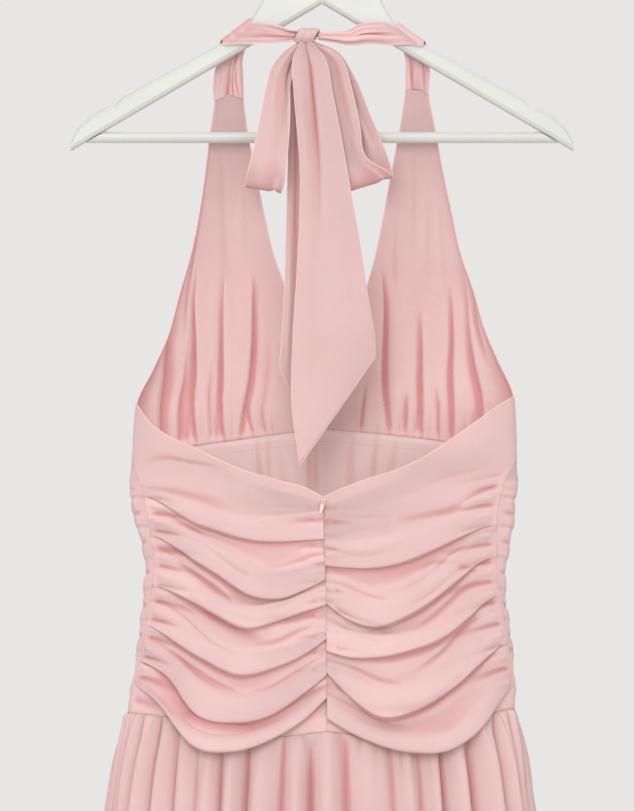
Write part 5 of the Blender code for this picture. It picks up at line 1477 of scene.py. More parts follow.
# Broad shallow forms of the smooth cloth: along is the share from side seam to zip, across the drop.
LEFT_PANEL_FORMS = creases(
    (0.3, (0.02, 0.5665, 0.0028, -0.0009), (0.15, 0.5830, 0.0028, -0.0016), (0.34, 0.6010, 0.0028, -0.0016), (0.52, 0.6110, 0.0028, -0.0000)),
    (0.0, (0.10, 0.5870, 0.0030, -0.0007), (0.25, 0.6020, 0.0030, -0.0013), (0.42, 0.6190, 0.0030, -0.0013), (0.60, 0.6290, 0.0030, -0.0000)),
    (0.0, (0.52, 0.6170, 0.0028, -0.0000), (0.68, 0.6170, 0.0028, -0.0014), (0.84, 0.6110, 0.0028, -0.0014), (0.98, 0.6040, 0.0028, -0.0007)),
    (0.3, (0.02, 0.6040, 0.0027, -0.0009), (0.14, 0.6200, 0.0027, -0.0016), (0.30, 0.6370, 0.0027, -0.0016), (0.50, 0.6500, 0.0027, -0.0000)),
    (0.0, (0.50, 0.6560, 0.0027, -0.0000), (0.66, 0.6530, 0.0027, -0.0013), (0.82, 0.6440, 0.0027, -0.0013), (0.97, 0.6390, 0.0027, -0.0006)),
    (0.2, (0.02, 0.6480, 0.0028, -0.0009), (0.16, 0.6640, 0.0028, -0.0017), (0.32, 0.6830, 0.0028, -0.0017), (0.52, 0.6960, 0.0028, -0.0000)),
    (0.0, (0.54, 0.6850, 0.0028, -0.0000), (0.68, 0.6830, 0.0028, -0.0014), (0.84, 0.6720, 0.0028, -0.0014), (0.97, 0.6640, 0.0028, -0.0007)),
    (0.3, (0.02, 0.6830, 0.0028, -0.0009), (0.14, 0.6950, 0.0028, -0.0017), (0.30, 0.7160, 0.0028, -0.0017), (0.48, 0.7310, 0.0028, -0.0000)),
    (0.0, (0.54, 0.7290, 0.0030, -0.0000), (0.68, 0.7230, 0.0030, -0.0014), (0.84, 0.7080, 0.0030, -0.0014), (0.97, 0.6960, 0.0030, -0.0007)),
    (0.0, (0.56, 0.7510, 0.0028, -0.0000), (0.70, 0.7450, 0.0028, -0.0012), (0.84, 0.7340, 0.0028, -0.0012), (0.97, 0.7230, 0.0028, -0.0006)),
    (-0.5, (0.04, 0.6090, 0.0034, 0.0010), (0.28, 0.6303, 0.0046, 0.0020), (0.43, 0.6480, 0.0046, 0.0016), (0.58, 0.6540, 0.0050, 0.0)),
    (0.4, (0.10, 0.6360, 0.0040, 0.0), (0.22, 0.6520, 0.0042, -0.0024), (0.40, 0.6680, 0.0044, -0.0030), (0.62, 0.6806, 0.0048, 0.0)),
    (0.4, (0.06, 0.6890, 0.0040, 0.0), (0.18, 0.7000, 0.0044, -0.0022), (0.36, 0.7175, 0.0046, -0.0026), (0.58, 0.7330, 0.0050, 0.0)),
    (0.0, (0.56, 0.6640, 0.0044, 0.0), (0.72, 0.6640, 0.0040, -0.0022), (0.95, 0.6586, 0.0030, -0.0014)),
    (0.0, (0.02, 0.5760, 0.0034, -0.0010), (0.16, 0.5840, 0.0042, -0.0020), (0.34, 0.5990, 0.0046, 0.0)),
    (-0.5, (0.0, 0.5290, 0.0030, 0.0), (0.10, 0.5225, 0.0030, -0.0010), (0.28, 0.5265, 0.0026, -0.0012), (0.45, 0.5310, 0.0024, 0.0)),
    (0.0, (0.06, 0.5480, 0.0050, 0.0), (0.24, 0.5580, 0.0060, -0.0012), (0.44, 0.5660, 0.0060, 0.0)),
    (0.0, (0.20, 0.5400, 0.0060, 0.0), (0.42, 0.5480, 0.0070, 0.0014), (0.70, 0.5560, 0.0070, 0.0)),
    (0.5, (0.50, 0.5760, 0.0030, 0.0), (0.64, 0.5748, 0.0030, 0.0016), (0.84, 0.5716, 0.0030, 0.0018), (1.0, 0.5700, 0.0024, 0.0010)),
    (0.0, (0.46, 0.6270, 0.0050, 0.0), (0.70, 0.6180, 0.0050, 0.0016), (1.0, 0.6110, 0.0040, 0.0012)),
    (0.0, (0.30, 0.6520, 0.0040, 0.0), (0.50, 0.6640, 0.0040, -0.0010), (0.70, 0.6660, 0.0040, 0.0)),
)
RIGHT_PANEL_FORMS = creases(
    (0.3, (0.02, 0.5930, 0.0028, -0.0009), (0.14, 0.6030, 0.0028, -0.0016), (0.32, 0.6230, 0.0028, -0.0016), (0.52, 0.6370, 0.0028, -0.0000)),
    (0.0, (0.50, 0.6450, 0.0028, -0.0000), (0.66, 0.6440, 0.0028, -0.0014), (0.84, 0.6350, 0.0028, -0.0014), (0.97, 0.6300, 0.0028, -0.0007)),
    (0.0, (0.10, 0.6150, 0.0030, -0.0007), (0.24, 0.6310, 0.0030, -0.0013), (0.40, 0.6470, 0.0030, -0.0013), (0.56, 0.6560, 0.0030, -0.0000)),
    (0.2, (0.02, 0.6240, 0.0028, -0.0008), (0.14, 0.6380, 0.0028, -0.0015), (0.32, 0.6590, 0.0028, -0.0015), (0.48, 0.6740, 0.0028, -0.0000)),
    (0.0, (0.56, 0.6830, 0.0028, -0.0000), (0.70, 0.6810, 0.0028, -0.0014), (0.84, 0.6740, 0.0028, -0.0014), (0.97, 0.6640, 0.0028, -0.0007)),
    (0.3, (0.02, 0.6560, 0.0029, -0.0009), (0.14, 0.6680, 0.0029, -0.0017), (0.32, 0.6920, 0.0029, -0.0017), (0.50, 0.7110, 0.0029, -0.0000)),
    (0.0, (0.54, 0.7200, 0.0028, -0.0000), (0.68, 0.7160, 0.0028, -0.0013), (0.84, 0.7060, 0.0028, -0.0013), (0.97, 0.7000, 0.0028, -0.0006)),
    (0.0, (0.50, 0.7600, 0.0030, -0.0000), (0.66, 0.7540, 0.0030, -0.0014), (0.84, 0.7400, 0.0030, -0.0014), (0.97, 0.7290, 0.0030, -0.0007)),
    (0.0, (0.0, 0.5454, 0.0036, -0.0012), (0.15, 0.5643, 0.0044, -0.0022), (0.32, 0.5720, 0.0048, -0.0016), (0.50, 0.5765, 0.0050, 0.0)),
    (-0.4, (0.40, 0.5880, 0.0050, 0.0), (0.60, 0.5990, 0.0046, 0.0016), (0.80, 0.6020, 0.0040, 0.0020), (0.98, 0.5985, 0.0030, 0.0016)),
    (0.4, (0.56, 0.6720, 0.0046, 0.0), (0.68, 0.6690, 0.0042, -0.0024), (0.80, 0.6633, 0.0038, -0.0028), (0.97, 0.6491, 0.0028, -0.0016)),
    (0.0, (0.12, 0.6920, 0.0050, 0.0), (0.35, 0.7316, 0.0046, -0.0020), (0.62, 0.7446, 0.0046, -0.0026), (0.82, 0.7400, 0.0044, 0.0)),
    (0.3, (0.02, 0.6230, 0.0034, -0.0010), (0.20, 0.6130, 0.0040, -0.0018), (0.40, 0.6190, 0.0046, 0.0)),
    (0.0, (0.0, 0.5280, 0.0040, 0.0), (0.16, 0.5330, 0.0050, -0.0010), (0.36, 0.5450, 0.0050, 0.0)),
    (0.0, (0.18, 0.5480, 0.0060, 0.0), (0.44, 0.5620, 0.0070, 0.0014), (0.72, 0.5640, 0.0070, 0.0)),
    (0.4, (0.55, 0.5770, 0.0030, 0.0), (0.76, 0.5760, 0.0030, 0.0014), (1.0, 0.5730, 0.0026, 0.0010)),
    (0.0, (0.30, 0.6260, 0.0050, 0.0), (0.55, 0.6360, 0.0050, -0.0012), (0.80, 0.6340, 0.0050, 0.0)),
    (0.0, (0.40, 0.6960, 0.0050, 0.0), (0.60, 0.7060, 0.0060, 0.0014), (0.85, 0.7000, 0.0050, 0.0)),
)
# Soft lengthwise creases of the plain inside: along is the drop, across the place round the front from left to right.
LINING_CREASES = creases(
    (0.0, (0.512, 0.325, 0.012, 0.0008), (0.535, 0.328, 0.014, 0.0016), (0.575, 0.333, 0.018, 0.0)),
    (0.0, (0.508, 0.352, 0.010, 0.0008), (0.530, 0.353, 0.012, 0.0014), (0.560, 0.356, 0.014, 0.0)),
    (0.0, (0.506, 0.385, 0.014, 0.0), (0.535, 0.388, 0.016, 0.0010), (0.580, 0.392, 0.018, 0.0)),
    (0.6, (0.498, 0.462, 0.012, 0.0020), (0.525, 0.462, 0.014, 0.0042), (0.560, 0.464, 0.016, 0.0042), (0.62, 0.468, 0.020, 0.0)),
    (0.0, (0.500, 0.575, 0.016, 0.0006), (0.530, 0.580, 0.020, 0.0012), (0.575, 0.584, 0.020, 0.0)),
    (0.0, (0.504, 0.640, 0.012, 0.0008), (0.528, 0.644, 0.014, 0.0014), (0.556, 0.648, 0.014, 0.0)),
    (0.0, (0.508, 0.690, 0.012, 0.0006), (0.530, 0.692, 0.016, 0.0010), (0.56, 0.694, 0.016, 0.0)),
)


def ring_points(drop: Array, turn: Array) -> Array:
    """Points of the midriff at a drop and a turn: -90 the back's middle, 0 the left, 90 the front, 180 the right.

    x = middle + (edge - middle) * |cos(turn)| and y = depth * sin(turn), each half with its own edge and depth.
    """
    read = through(drop, [row.drop for row in LEVELS], np.array(LEVELS))
    edge = np.where(np.cos(turn) > 0, -read[..., 1] - read[..., 3], read[..., 5] - read[..., 3])
    x = read[..., 3] + edge * np.abs(np.cos(turn))
    y = np.where(np.sin(turn) > 0, read[..., 6], read[..., 7]) * np.sin(turn)
    return np.stack([x, y, -drop], axis=-1)


def seam_turn(drop: Array, side: Side, shift: float = 0.0) -> Array:
    """How far behind the widest point the side seam sits, as a turn, and a shift of its edge along the ring."""
    read = through(drop, [row.drop for row in LEVELS], np.array(LEVELS))
    edge, turn = (read[..., 1], read[..., 2]) if side is Side.LEFT else (read[..., 5], read[..., 4])
    turn = np.radians(turn)
    return turn + shift / np.hypot(edge * np.sin(turn), read[..., 7] * np.cos(turn))


def edge_drop(rows: Sequence[Edge], share: Array, side: Side) -> Array:
    """The drop of an edge at a share of the way from side seam to middle."""
    return through(share, [row.share for row in rows], [getattr(row, side.value) for row in rows])


def outwards(points: Array, out: Array, turn: Array) -> Array:
    """Points moved out from the midriff's own ring, at right angles to it."""
    read = through(-points[..., 2], [row.drop for row in LEVELS], np.array(LEVELS))
    wide = (read[..., 1] + read[..., 5]) / 2
    deep = np.where(np.sin(turn) > 0, read[..., 6], read[..., 7])
    normal = np.stack([-np.cos(turn) * deep, np.sin(turn) * wide, np.zeros_like(deep)], axis=-1)
    normal /= np.linalg.norm(normal, axis=-1, keepdims=True)
    return points + normal * out[..., None]


def fold_rows(folds: Sequence[Fold], shape: FoldSection, top: Array, share: Array) -> list[tuple[Array, Array]]:
    """Drops and reaches out down a draped panel, a pair of arrays for each row, from below its plain top.

    From a foot, the cloth rises to the fold's upper line, bulges to its lip, and goes in again to the next foot.
    """
    rows = []
    foot = top + TOP_PLAIN
    for fold in folds:
        crest, lip, out = (through(share, STATIONS, values) for values in fold)
        crest = np.maximum(crest, foot + 0.0012)
        lip = np.maximum(lip, crest + 0.0024)
        rows += [(foot + (crest - foot) * point.way, out * point.out) for point in shape.rise]
        rows += [(crest + (lip - crest) * point.way, out * point.out) for point in shape.band]
        rows += [(lip + (out + shape.soft) * point.way, out * point.out) for point in shape.back]
        foot = lip + (out + shape.soft) * shape.foot
    return rows


def denser(rows: Sequence[tuple[Array, Array]], step: float) -> tuple[Array, Array]:
    """The rows of a draped panel read more closely, on a cubic through them, so that none lies further than a step on."""
    table = np.array([np.broadcast_arrays(*row) for row in rows])
    gaps = np.linalg.norm(np.diff(table, axis=0), axis=1).mean(axis=1)
    knots = np.concatenate([[0.0], np.cumsum(gaps)])
    cuts = np.maximum(2, np.ceil(gaps / step)).astype(int)
    places = np.concatenate([knots[row] + gaps[row] * np.arange(cut) / cut for row, cut in enumerate(cuts)] + [knots[-1:]])
    read = through(places, knots, table.reshape(len(table), -1)).reshape(len(places), 2, -1)
    return read[:, 0], read[:, 1]


def held_at(ends: Array) -> Array:
    """How free the cloth is at a share from a seam: little where it is sewn, and wholly from SEAM_HOLD on."""
    return np.clip(ends / SEAM_HOLD, SEAM_FREE, 1)


def pucker_creases(puckers: Sequence[Pucker], start: float) -> list[Crease]:
    """Creases that run in from one end of a panel, from share 0 or 1, and die away."""
    way = 1 - 2 * start
    return [
        Crease((
            Station(min(start, start + way * tuck.reach), tuck.drop + (0 if start == 0 else tuck.fall), tuck.width if start == 0 else tuck.width * 1.7, tuck.height if start == 0 else 0.0),
            Station(start + way * tuck.reach * 0.4, tuck.drop + tuck.fall * 0.4, tuck.width * 1.3, tuck.height * 0.6),
            Station(max(start, start + way * tuck.reach), tuck.drop + (tuck.fall if start == 0 else 0), tuck.width * 1.7 if start == 0 else tuck.width, 0.0 if start == 0 else tuck.height),
        ))
        for tuck in puckers
    ]


@dataclass
class Midriff:
    """The middle of the dress: two ruched back panels, a ruched front and its plain inside."""

    wardrobe: Wardrobe
    panel_columns: int = 150
    panel_step: float = 0.0018
    front_columns: int = 170
    front_step: float = 0.0026
    lining_rows: int = 50
    lining_columns: int = 240
    lining_gap: float = 0.0011
    panel_flat: tuple[float, float] = (0.180, 0.36)
    front_flat: tuple[float, float] = (0.40, 0.30)
    lining_flat: tuple[float, float] = (0.36, 0.25)

    def back_panel(self, side: Side) -> Array:
        """A back panel: plain along its top, draped folds, and the last fold hanging free over the waist seam."""
        left = side is Side.LEFT
        folds = LEFT_FOLDS if left else RIGHT_FOLDS
        column = eased(self.panel_columns, 0.6)
        share = 1 - np.cos(column * np.pi / 2)
        top = edge_drop(BACK_TOP, share, side)
        waist = edge_drop(BACK_WAIST, share, side) - SEAM_SIDE
        flat = np.zeros_like(share)
        rows = [(top + TOP_PLAIN * step, flat) for step in (0.0, 0.25, 0.5, 0.75, 1.0)]
        rows += fold_rows(folds, LAPPED, top, share)[:-len(LAPPED.back)]
        last_out = through(share, STATIONS, folds[-1].out)
        inside = np.minimum(rows[-1][0], waist)
        rows.append((inside - 0.0040, last_out * 0.16))
        rows.append((np.maximum(inside - 0.0018, waist - 0.0018), flat))
        rows.append((waist, flat))
        drop, out = denser(rows, self.panel_step)
        seam = -seam_turn(drop, side, SEAM_SIDE)
        turn = seam + (-np.pi / 2 - seam) * column[None, :]
        turn = turn if left else np.pi - turn
        held = held_at(share) * held_at(1 - share)
        points = outwards(ring_points(drop, turn), out * held_at(share), turn)
        points[:, -1, 0] += (-1 if left else 1) * SEAM_SIDE
        lines = list(LEFT_PANEL_FORMS if left else RIGHT_PANEL_FORMS)
        lines += pucker_creases(LEFT_SIDE_PUCKERS if left else RIGHT_SIDE_PUCKERS, 0.0)
        lines += pucker_creases(LEFT_ZIP_PUCKERS if left else RIGHT_ZIP_PUCKERS, 1.0)
        lift = sum(line.push(share + 0 * drop, drop) for line in lines)
        floor = -TAPE_CLEAR - np.clip(TAPE_EDGE - share, 0, 1) * 0.1
        points = outwards(points, np.maximum(lift * held, floor), turn)
        return points if left else points[:, ::-1]

    def front_turn(self, drop: Array, column: Array) -> Array:
        """The turn of a front point, from the left side seam round to the right one."""
        start = -seam_turn(drop, Side.LEFT, -SEAM_SIDE)
        end = np.pi + seam_turn(drop, Side.RIGHT, -SEAM_SIDE)
        return start + (end - start) * column

    def front_outside(self) -> Array:
        """The front's outside: draped folds from side seam to side seam."""
        column = eased(self.front_columns, 0.5)
        half = 1 - np.abs(2 * column - 1)
        share = 1 - np.cos(half * np.pi / 2)
        left = column <= 0.5
        top, waist = (
            np.where(left, edge_drop(rows, share, Side.LEFT), edge_drop(rows, share, Side.RIGHT))
            for rows in (UNDERBUST, FRONT_WAIST)
        )
        top, waist = top + CROSS_SEAM_SIDE, waist - SEAM_SIDE
        flat = np.zeros_like(share)
        rows = [(top + TOP_PLAIN * step, flat) for step in (0.0, 0.25, 0.5, 0.75, 1.0)]
        rows += fold_rows(FRONT_FOLDS, ROUNDED, top, share)
        rows += [(waist - 0.003, flat), (waist, flat)]
        drop, out = denser(rows, self.front_step)
        turn = self.front_turn(drop, column[None, :])
        lines = pucker_creases(FRONT_SIDE_PUCKERS, 0.0)
        lift = sum(line.push(share + 0 * drop, drop) for line in lines)
        return outwards(ring_points(drop, turn), (out + lift) * held_at(share), turn)[:, ::-1]

    def front_inside(self) -> Array:
        """The front's plain inside: the midriff's own ring, a little within the outside, with soft creases."""
        column = np.linspace(0, 1, self.lining_columns)
        half = 1 - np.abs(2 * column - 1)
        share = 1 - np.cos(half * np.pi / 2)
        left = column <= 0.5
        top, waist = (
            np.where(left, edge_drop(rows, share, Side.LEFT), edge_drop(rows, share, Side.RIGHT))
            for rows in (UNDERBUST, FRONT_WAIST)
        )
        down = np.linspace(0, 1, self.lining_rows)[:, None]
        drop = (top + CROSS_SEAM_SIDE) * (1 - down) + (waist - SEAM_SIDE) * down
        turn = self.front_turn(drop, column[None, :])
        points = ring_points(drop, turn)
        place = (ring_points(drop, turn)[..., 0] - points[:, :1, 0]) / (points[:, -1:, 0] - points[:, :1, 0])
        lift = sum(line.push(drop, place) for line in LINING_CREASES)
        close = np.minimum(1, np.minimum(half[None, :] / 0.03, (1 - down) / 0.03))
        return outwards(points, -self.lining_gap * close + np.minimum(lift, 0.0016), turn)

    def build(self) -> dict[str, Array]:
        """Make the panels, and return their grids for the sewing."""
        grids = {"bodice_front": self.front_outside(), "lining": self.front_inside()}
        chiffon = self.wardrobe.chiffon
        cloth_piece("bodice_front", grids["bodice_front"], chiffon, self.front_flat, facing=1.0)
        lining = cloth_object("bodice_front_inside", grids["lining"])
        dress_piece(lining, self.wardrobe.lining)
        LOG.info("bodice_front_inside: %.4f square metres", area_of(grids["lining"]))
        for side in Side:
            node = f"back_panel_{side.value}"
            grids[node] = self.back_panel(side)
            cloth_piece(node, grids[node], chiffon, self.panel_flat)
        return grids


class GatherMark(NamedTuple):
    """A short gather below the waist seam: its place round the half, its reach down, its width and its height."""

    place: float
    reach: float
    width: float
    height: float


BACK_GATHERS = (
    GatherMark(0.0205, 0.081, 0.0122, 0.0026),
    GatherMark(0.0435, 0.084, 0.0071, 0.0029),
    GatherMark(0.0675, 0.105, 0.0066, 0.0023),
    GatherMark(0.0821, 0.107, 0.0107, 0.0015),
    GatherMark(0.1171, 0.123, 0.0104, 0.0032),
    GatherMark(0.1276, 0.024, 0.0095, 0.0015),
    GatherMark(0.1504, 0.048, 0.0061, 0.0026),
    GatherMark(0.1762, 0.110, 0.0095, 0.0032),
    GatherMark(0.1993, 0.092, 0.0090, 0.0021),
    GatherMark(0.2287, 0.127, 0.0117, 0.0033),
    GatherMark(0.2412, 0.047, 0.0080, 0.0015),
    GatherMark(0.2699, 0.064, 0.0117, 0.0024),
    GatherMark(0.2949, 0.110, 0.0059, 0.0020),
    GatherMark(0.3165, 0.071, 0.0126, 0.0024),
    GatherMark(0.3269, 0.089, 0.0112, 0.0021),
    GatherMark(0.3493, 0.057, 0.0126, 0.0035),
    GatherMark(0.3721, 0.048, 0.0066, 0.0015),
    GatherMark(0.4040, 0.041, 0.0097, 0.0026),
    GatherMark(0.4176, 0.099, 0.0068, 0.0032),
    GatherMark(0.4389, 0.067, 0.0075, 0.0021),
    GatherMark(0.4733, 0.106, 0.0080, 0.0039),
    GatherMark(0.4847, 0.063, 0.0117, 0.0032),
    GatherMark(0.5054, 0.125, 0.0075, 0.0021),
    GatherMark(0.5373, 0.057, 0.0080, 0.0015),
    GatherMark(0.5498, 0.083, 0.0076, 0.0032),
    GatherMark(0.5761, 0.070, 0.0124, 0.0029),
    GatherMark(0.6013, 0.113, 0.0071, 0.0018),
    GatherMark(0.6283, 0.108, 0.0076, 0.0020),
    GatherMark(0.6482, 0.121, 0.0073, 0.0041),
    GatherMark(0.6725, 0.085, 0.0088, 0.0018),
    GatherMark(0.6827, 0.123, 0.0076, 0.0033),
    GatherMark(0.7081, 0.108, 0.0100, 0.0023),
    GatherMark(0.7292, 0.098, 0.0065, 0.0021),
    GatherMark(0.7570, 0.112, 0.0102, 0.0021),
    GatherMark(0.7844, 0.044, 0.0061, 0.0021),
    GatherMark(0.7999, 0.029, 0.0071, 0.0024),
    GatherMark(0.8240, 0.037, 0.0083, 0.0039),
    GatherMark(0.8521, 0.091, 0.0107, 0.0030),
    GatherMark(0.8624, 0.026, 0.0061, 0.0041),
    GatherMark(0.8926, 0.123, 0.0061, 0.0032),
    GatherMark(0.9118, 0.099, 0.0082, 0.0042),
    GatherMark(0.9283, 0.079, 0.0109, 0.0039),
    GatherMark(0.9600, 0.095, 0.0114, 0.0041),
    GatherMark(0.9768, 0.094, 0.0121, 0.0039),
)
FRONT_GATHERS = (
    GatherMark(0.0222, 0.095, 0.0127, 0.0030),
    GatherMark(0.0530, 0.059, 0.0107, 0.0032),
    GatherMark(0.0707, 0.082, 0.0136, 0.0039),
    GatherMark(0.1093, 0.059, 0.0117, 0.0030),
    GatherMark(0.1315, 0.100, 0.0073, 0.0035),
    GatherMark(0.1515, 0.078, 0.0100, 0.0021),
    GatherMark(0.1904, 0.069, 0.0110, 0.0041),
    GatherMark(0.2099, 0.024, 0.0088, 0.0033),
    GatherMark(0.2362, 0.039, 0.0129, 0.0033),
    GatherMark(0.2676, 0.105, 0.0090, 0.0033),
    GatherMark(0.2906, 0.062, 0.0122, 0.0041),
    GatherMark(0.3297, 0.059, 0.0107, 0.0023),
    GatherMark(0.3439, 0.069, 0.0124, 0.0039),
    GatherMark(0.3812, 0.110, 0.0087, 0.0020),
    GatherMark(0.4039, 0.048, 0.0083, 0.0026),
    GatherMark(0.4341, 0.069, 0.0090, 0.0037),
    GatherMark(0.4676, 0.064, 0.0073, 0.0015),
    GatherMark(0.4929, 0.026, 0.0116, 0.0030),
    GatherMark(0.5103, 0.095, 0.0070, 0.0018),
    GatherMark(0.5400, 0.025, 0.0124, 0.0021),
    GatherMark(0.5618, 0.028, 0.0110, 0.0026),
    GatherMark(0.5975, 0.083, 0.0122, 0.0041),
    GatherMark(0.6257, 0.041, 0.0100, 0.0020),
    GatherMark(0.6412, 0.067, 0.0117, 0.0020),
    GatherMark(0.6730, 0.055, 0.0116, 0.0029),
    GatherMark(0.7062, 0.092, 0.0095, 0.0037),
    GatherMark(0.7385, 0.031, 0.0131, 0.0035),
    GatherMark(0.7522, 0.064, 0.0110, 0.0041),
    GatherMark(0.7837, 0.076, 0.0127, 0.0037),
    GatherMark(0.8208, 0.066, 0.0112, 0.0020),
    GatherMark(0.8441, 0.098, 0.0112, 0.0033),
    GatherMark(0.8625, 0.106, 0.0134, 0.0042),
    GatherMark(0.8954, 0.095, 0.0090, 0.0041),
    GatherMark(0.9281, 0.055, 0.0073, 0.0026),
    GatherMark(0.9500, 0.093, 0.0100, 0.0014),
    GatherMark(0.9818, 0.029, 0.0122, 0.0020),
)


@dataclass
class Skirt:
    """The long gathered skirt: a back and a front half, with hanging folds that widen to the hem."""

    wardrobe: Wardrobe
    rows: int = 84
    columns_a_fold: int = 16
    flat_back: tuple[float, float] = (0.66, 0.79)
    flat_front: tuple[float, float] = (0.66, 0.79)
    wander: float = 0.0065

    def half_skirt(self, front: bool) -> Array:
        """Half the skirt, from the waist seam to the hem.

        Point = waist ring + spread + fold depth * height, height = share * ((0.5 - 0.5 cos(2 pi phase)) ^ 0.6 - 0.5) + 0.15.
        The folds wander sideways by a slow sum of sines, more towards the hem, and short gathers stand below the seam.
        """
        pleats, waist_rows = (FRONT_PLEATS, FRONT_WAIST) if front else (BACK_PLEATS, BACK_WAIST)
        count = (len(pleats) - 1) * self.columns_a_fold + 1
        phase = np.linspace(0, len(pleats) - 1, count)
        number = np.arange(len(pleats))
        place = through(phase, number, [row.share for row in pleats])
        depth = through(phase, number, [row.depth for row in pleats])
        reach = np.linspace(0, 1, self.rows)[:, None] ** 1.5
        bell = np.minimum(1, 6 * place * (1 - place))
        column = place + self.wander * bell * reach * (np.sin(9.0 * place * np.pi + 3.0 * reach) + 0.6 * np.sin(23.0 * place + 5.0 * reach))
        height = depth * ((0.5 - 0.5 * np.cos(2 * np.pi * phase)) ** 0.6 - 0.5) + 0.15
        height = height * (1 + 0.30 * np.sin(17.0 * place + 4.0 * reach)) * np.minimum(1, 12 * place * (1 - place))
        half = 1 - np.abs(2 * place - 1)
        share = 1 - np.cos(half * np.pi / 2)
        left = place <= 0.5
        waist = np.where(left, edge_drop(waist_rows, share, Side.LEFT), edge_drop(waist_rows, share, Side.RIGHT)) + SEAM_SIDE
        shift = -SEAM_SIDE if front else SEAM_SIDE
        start = seam_turn(waist[:1], Side.LEFT, shift)[0]
        end = seam_turn(waist[-1:], Side.RIGHT, shift)[0]
        if front:
            turn = -start + (np.pi + start + end) * column
        else:
            turn = -start - (np.pi - start - end) * column
        flare = through(reach * SKIRT[-1].below, [row.below for row in SKIRT], np.array(SKIRT))
        spread_x, spread_y, fold = flare[..., 1], flare[..., 2], flare[..., 3]
        drop = waist + (HEM_DROP - waist) * reach
        marks = np.array(FRONT_GATHERS if front else BACK_GATHERS)
        away = (place[None, None, :] - marks[:, 0, None, None]) / marks[:, 2, None, None]
        fade = np.clip(1 - reach[None] / marks[:, 1, None, None], 0, 1) * np.minimum(1, 0.35 + reach[None] / 0.004)
        puckers = (marks[:, 3, None, None] * np.exp(-(away**2)) * fade).sum(axis=0) - 0.0006 * np.clip(1 - reach / 0.05, 0, 1)
        ring = ring_points(waist + 0 * reach, turn)
        lift = fold * height + puckers
        ring[..., 0] -= np.cos(turn) * (spread_x + lift)
        ring[..., 1] += np.sin(turn) * (spread_y + lift)
        ring[..., 2] = -drop
        return ring[:, ::-1] if front else ring

    def build(self) -> dict[str, Array]:
        """Make both halves, and return their grids for the sewing."""
        grids = {"skirt_front": self.half_skirt(True), "skirt_back": self.half_skirt(False)}
        cloth_piece(
            "skirt_front", grids["skirt_front"], self.wardrobe.chiffon, self.flat_front,
            facing=1.0,
        )
        cloth_piece(
            "skirt_back", grids["skirt_back"], self.wardrobe.chiffon, self.flat_back,
        )
        return grids


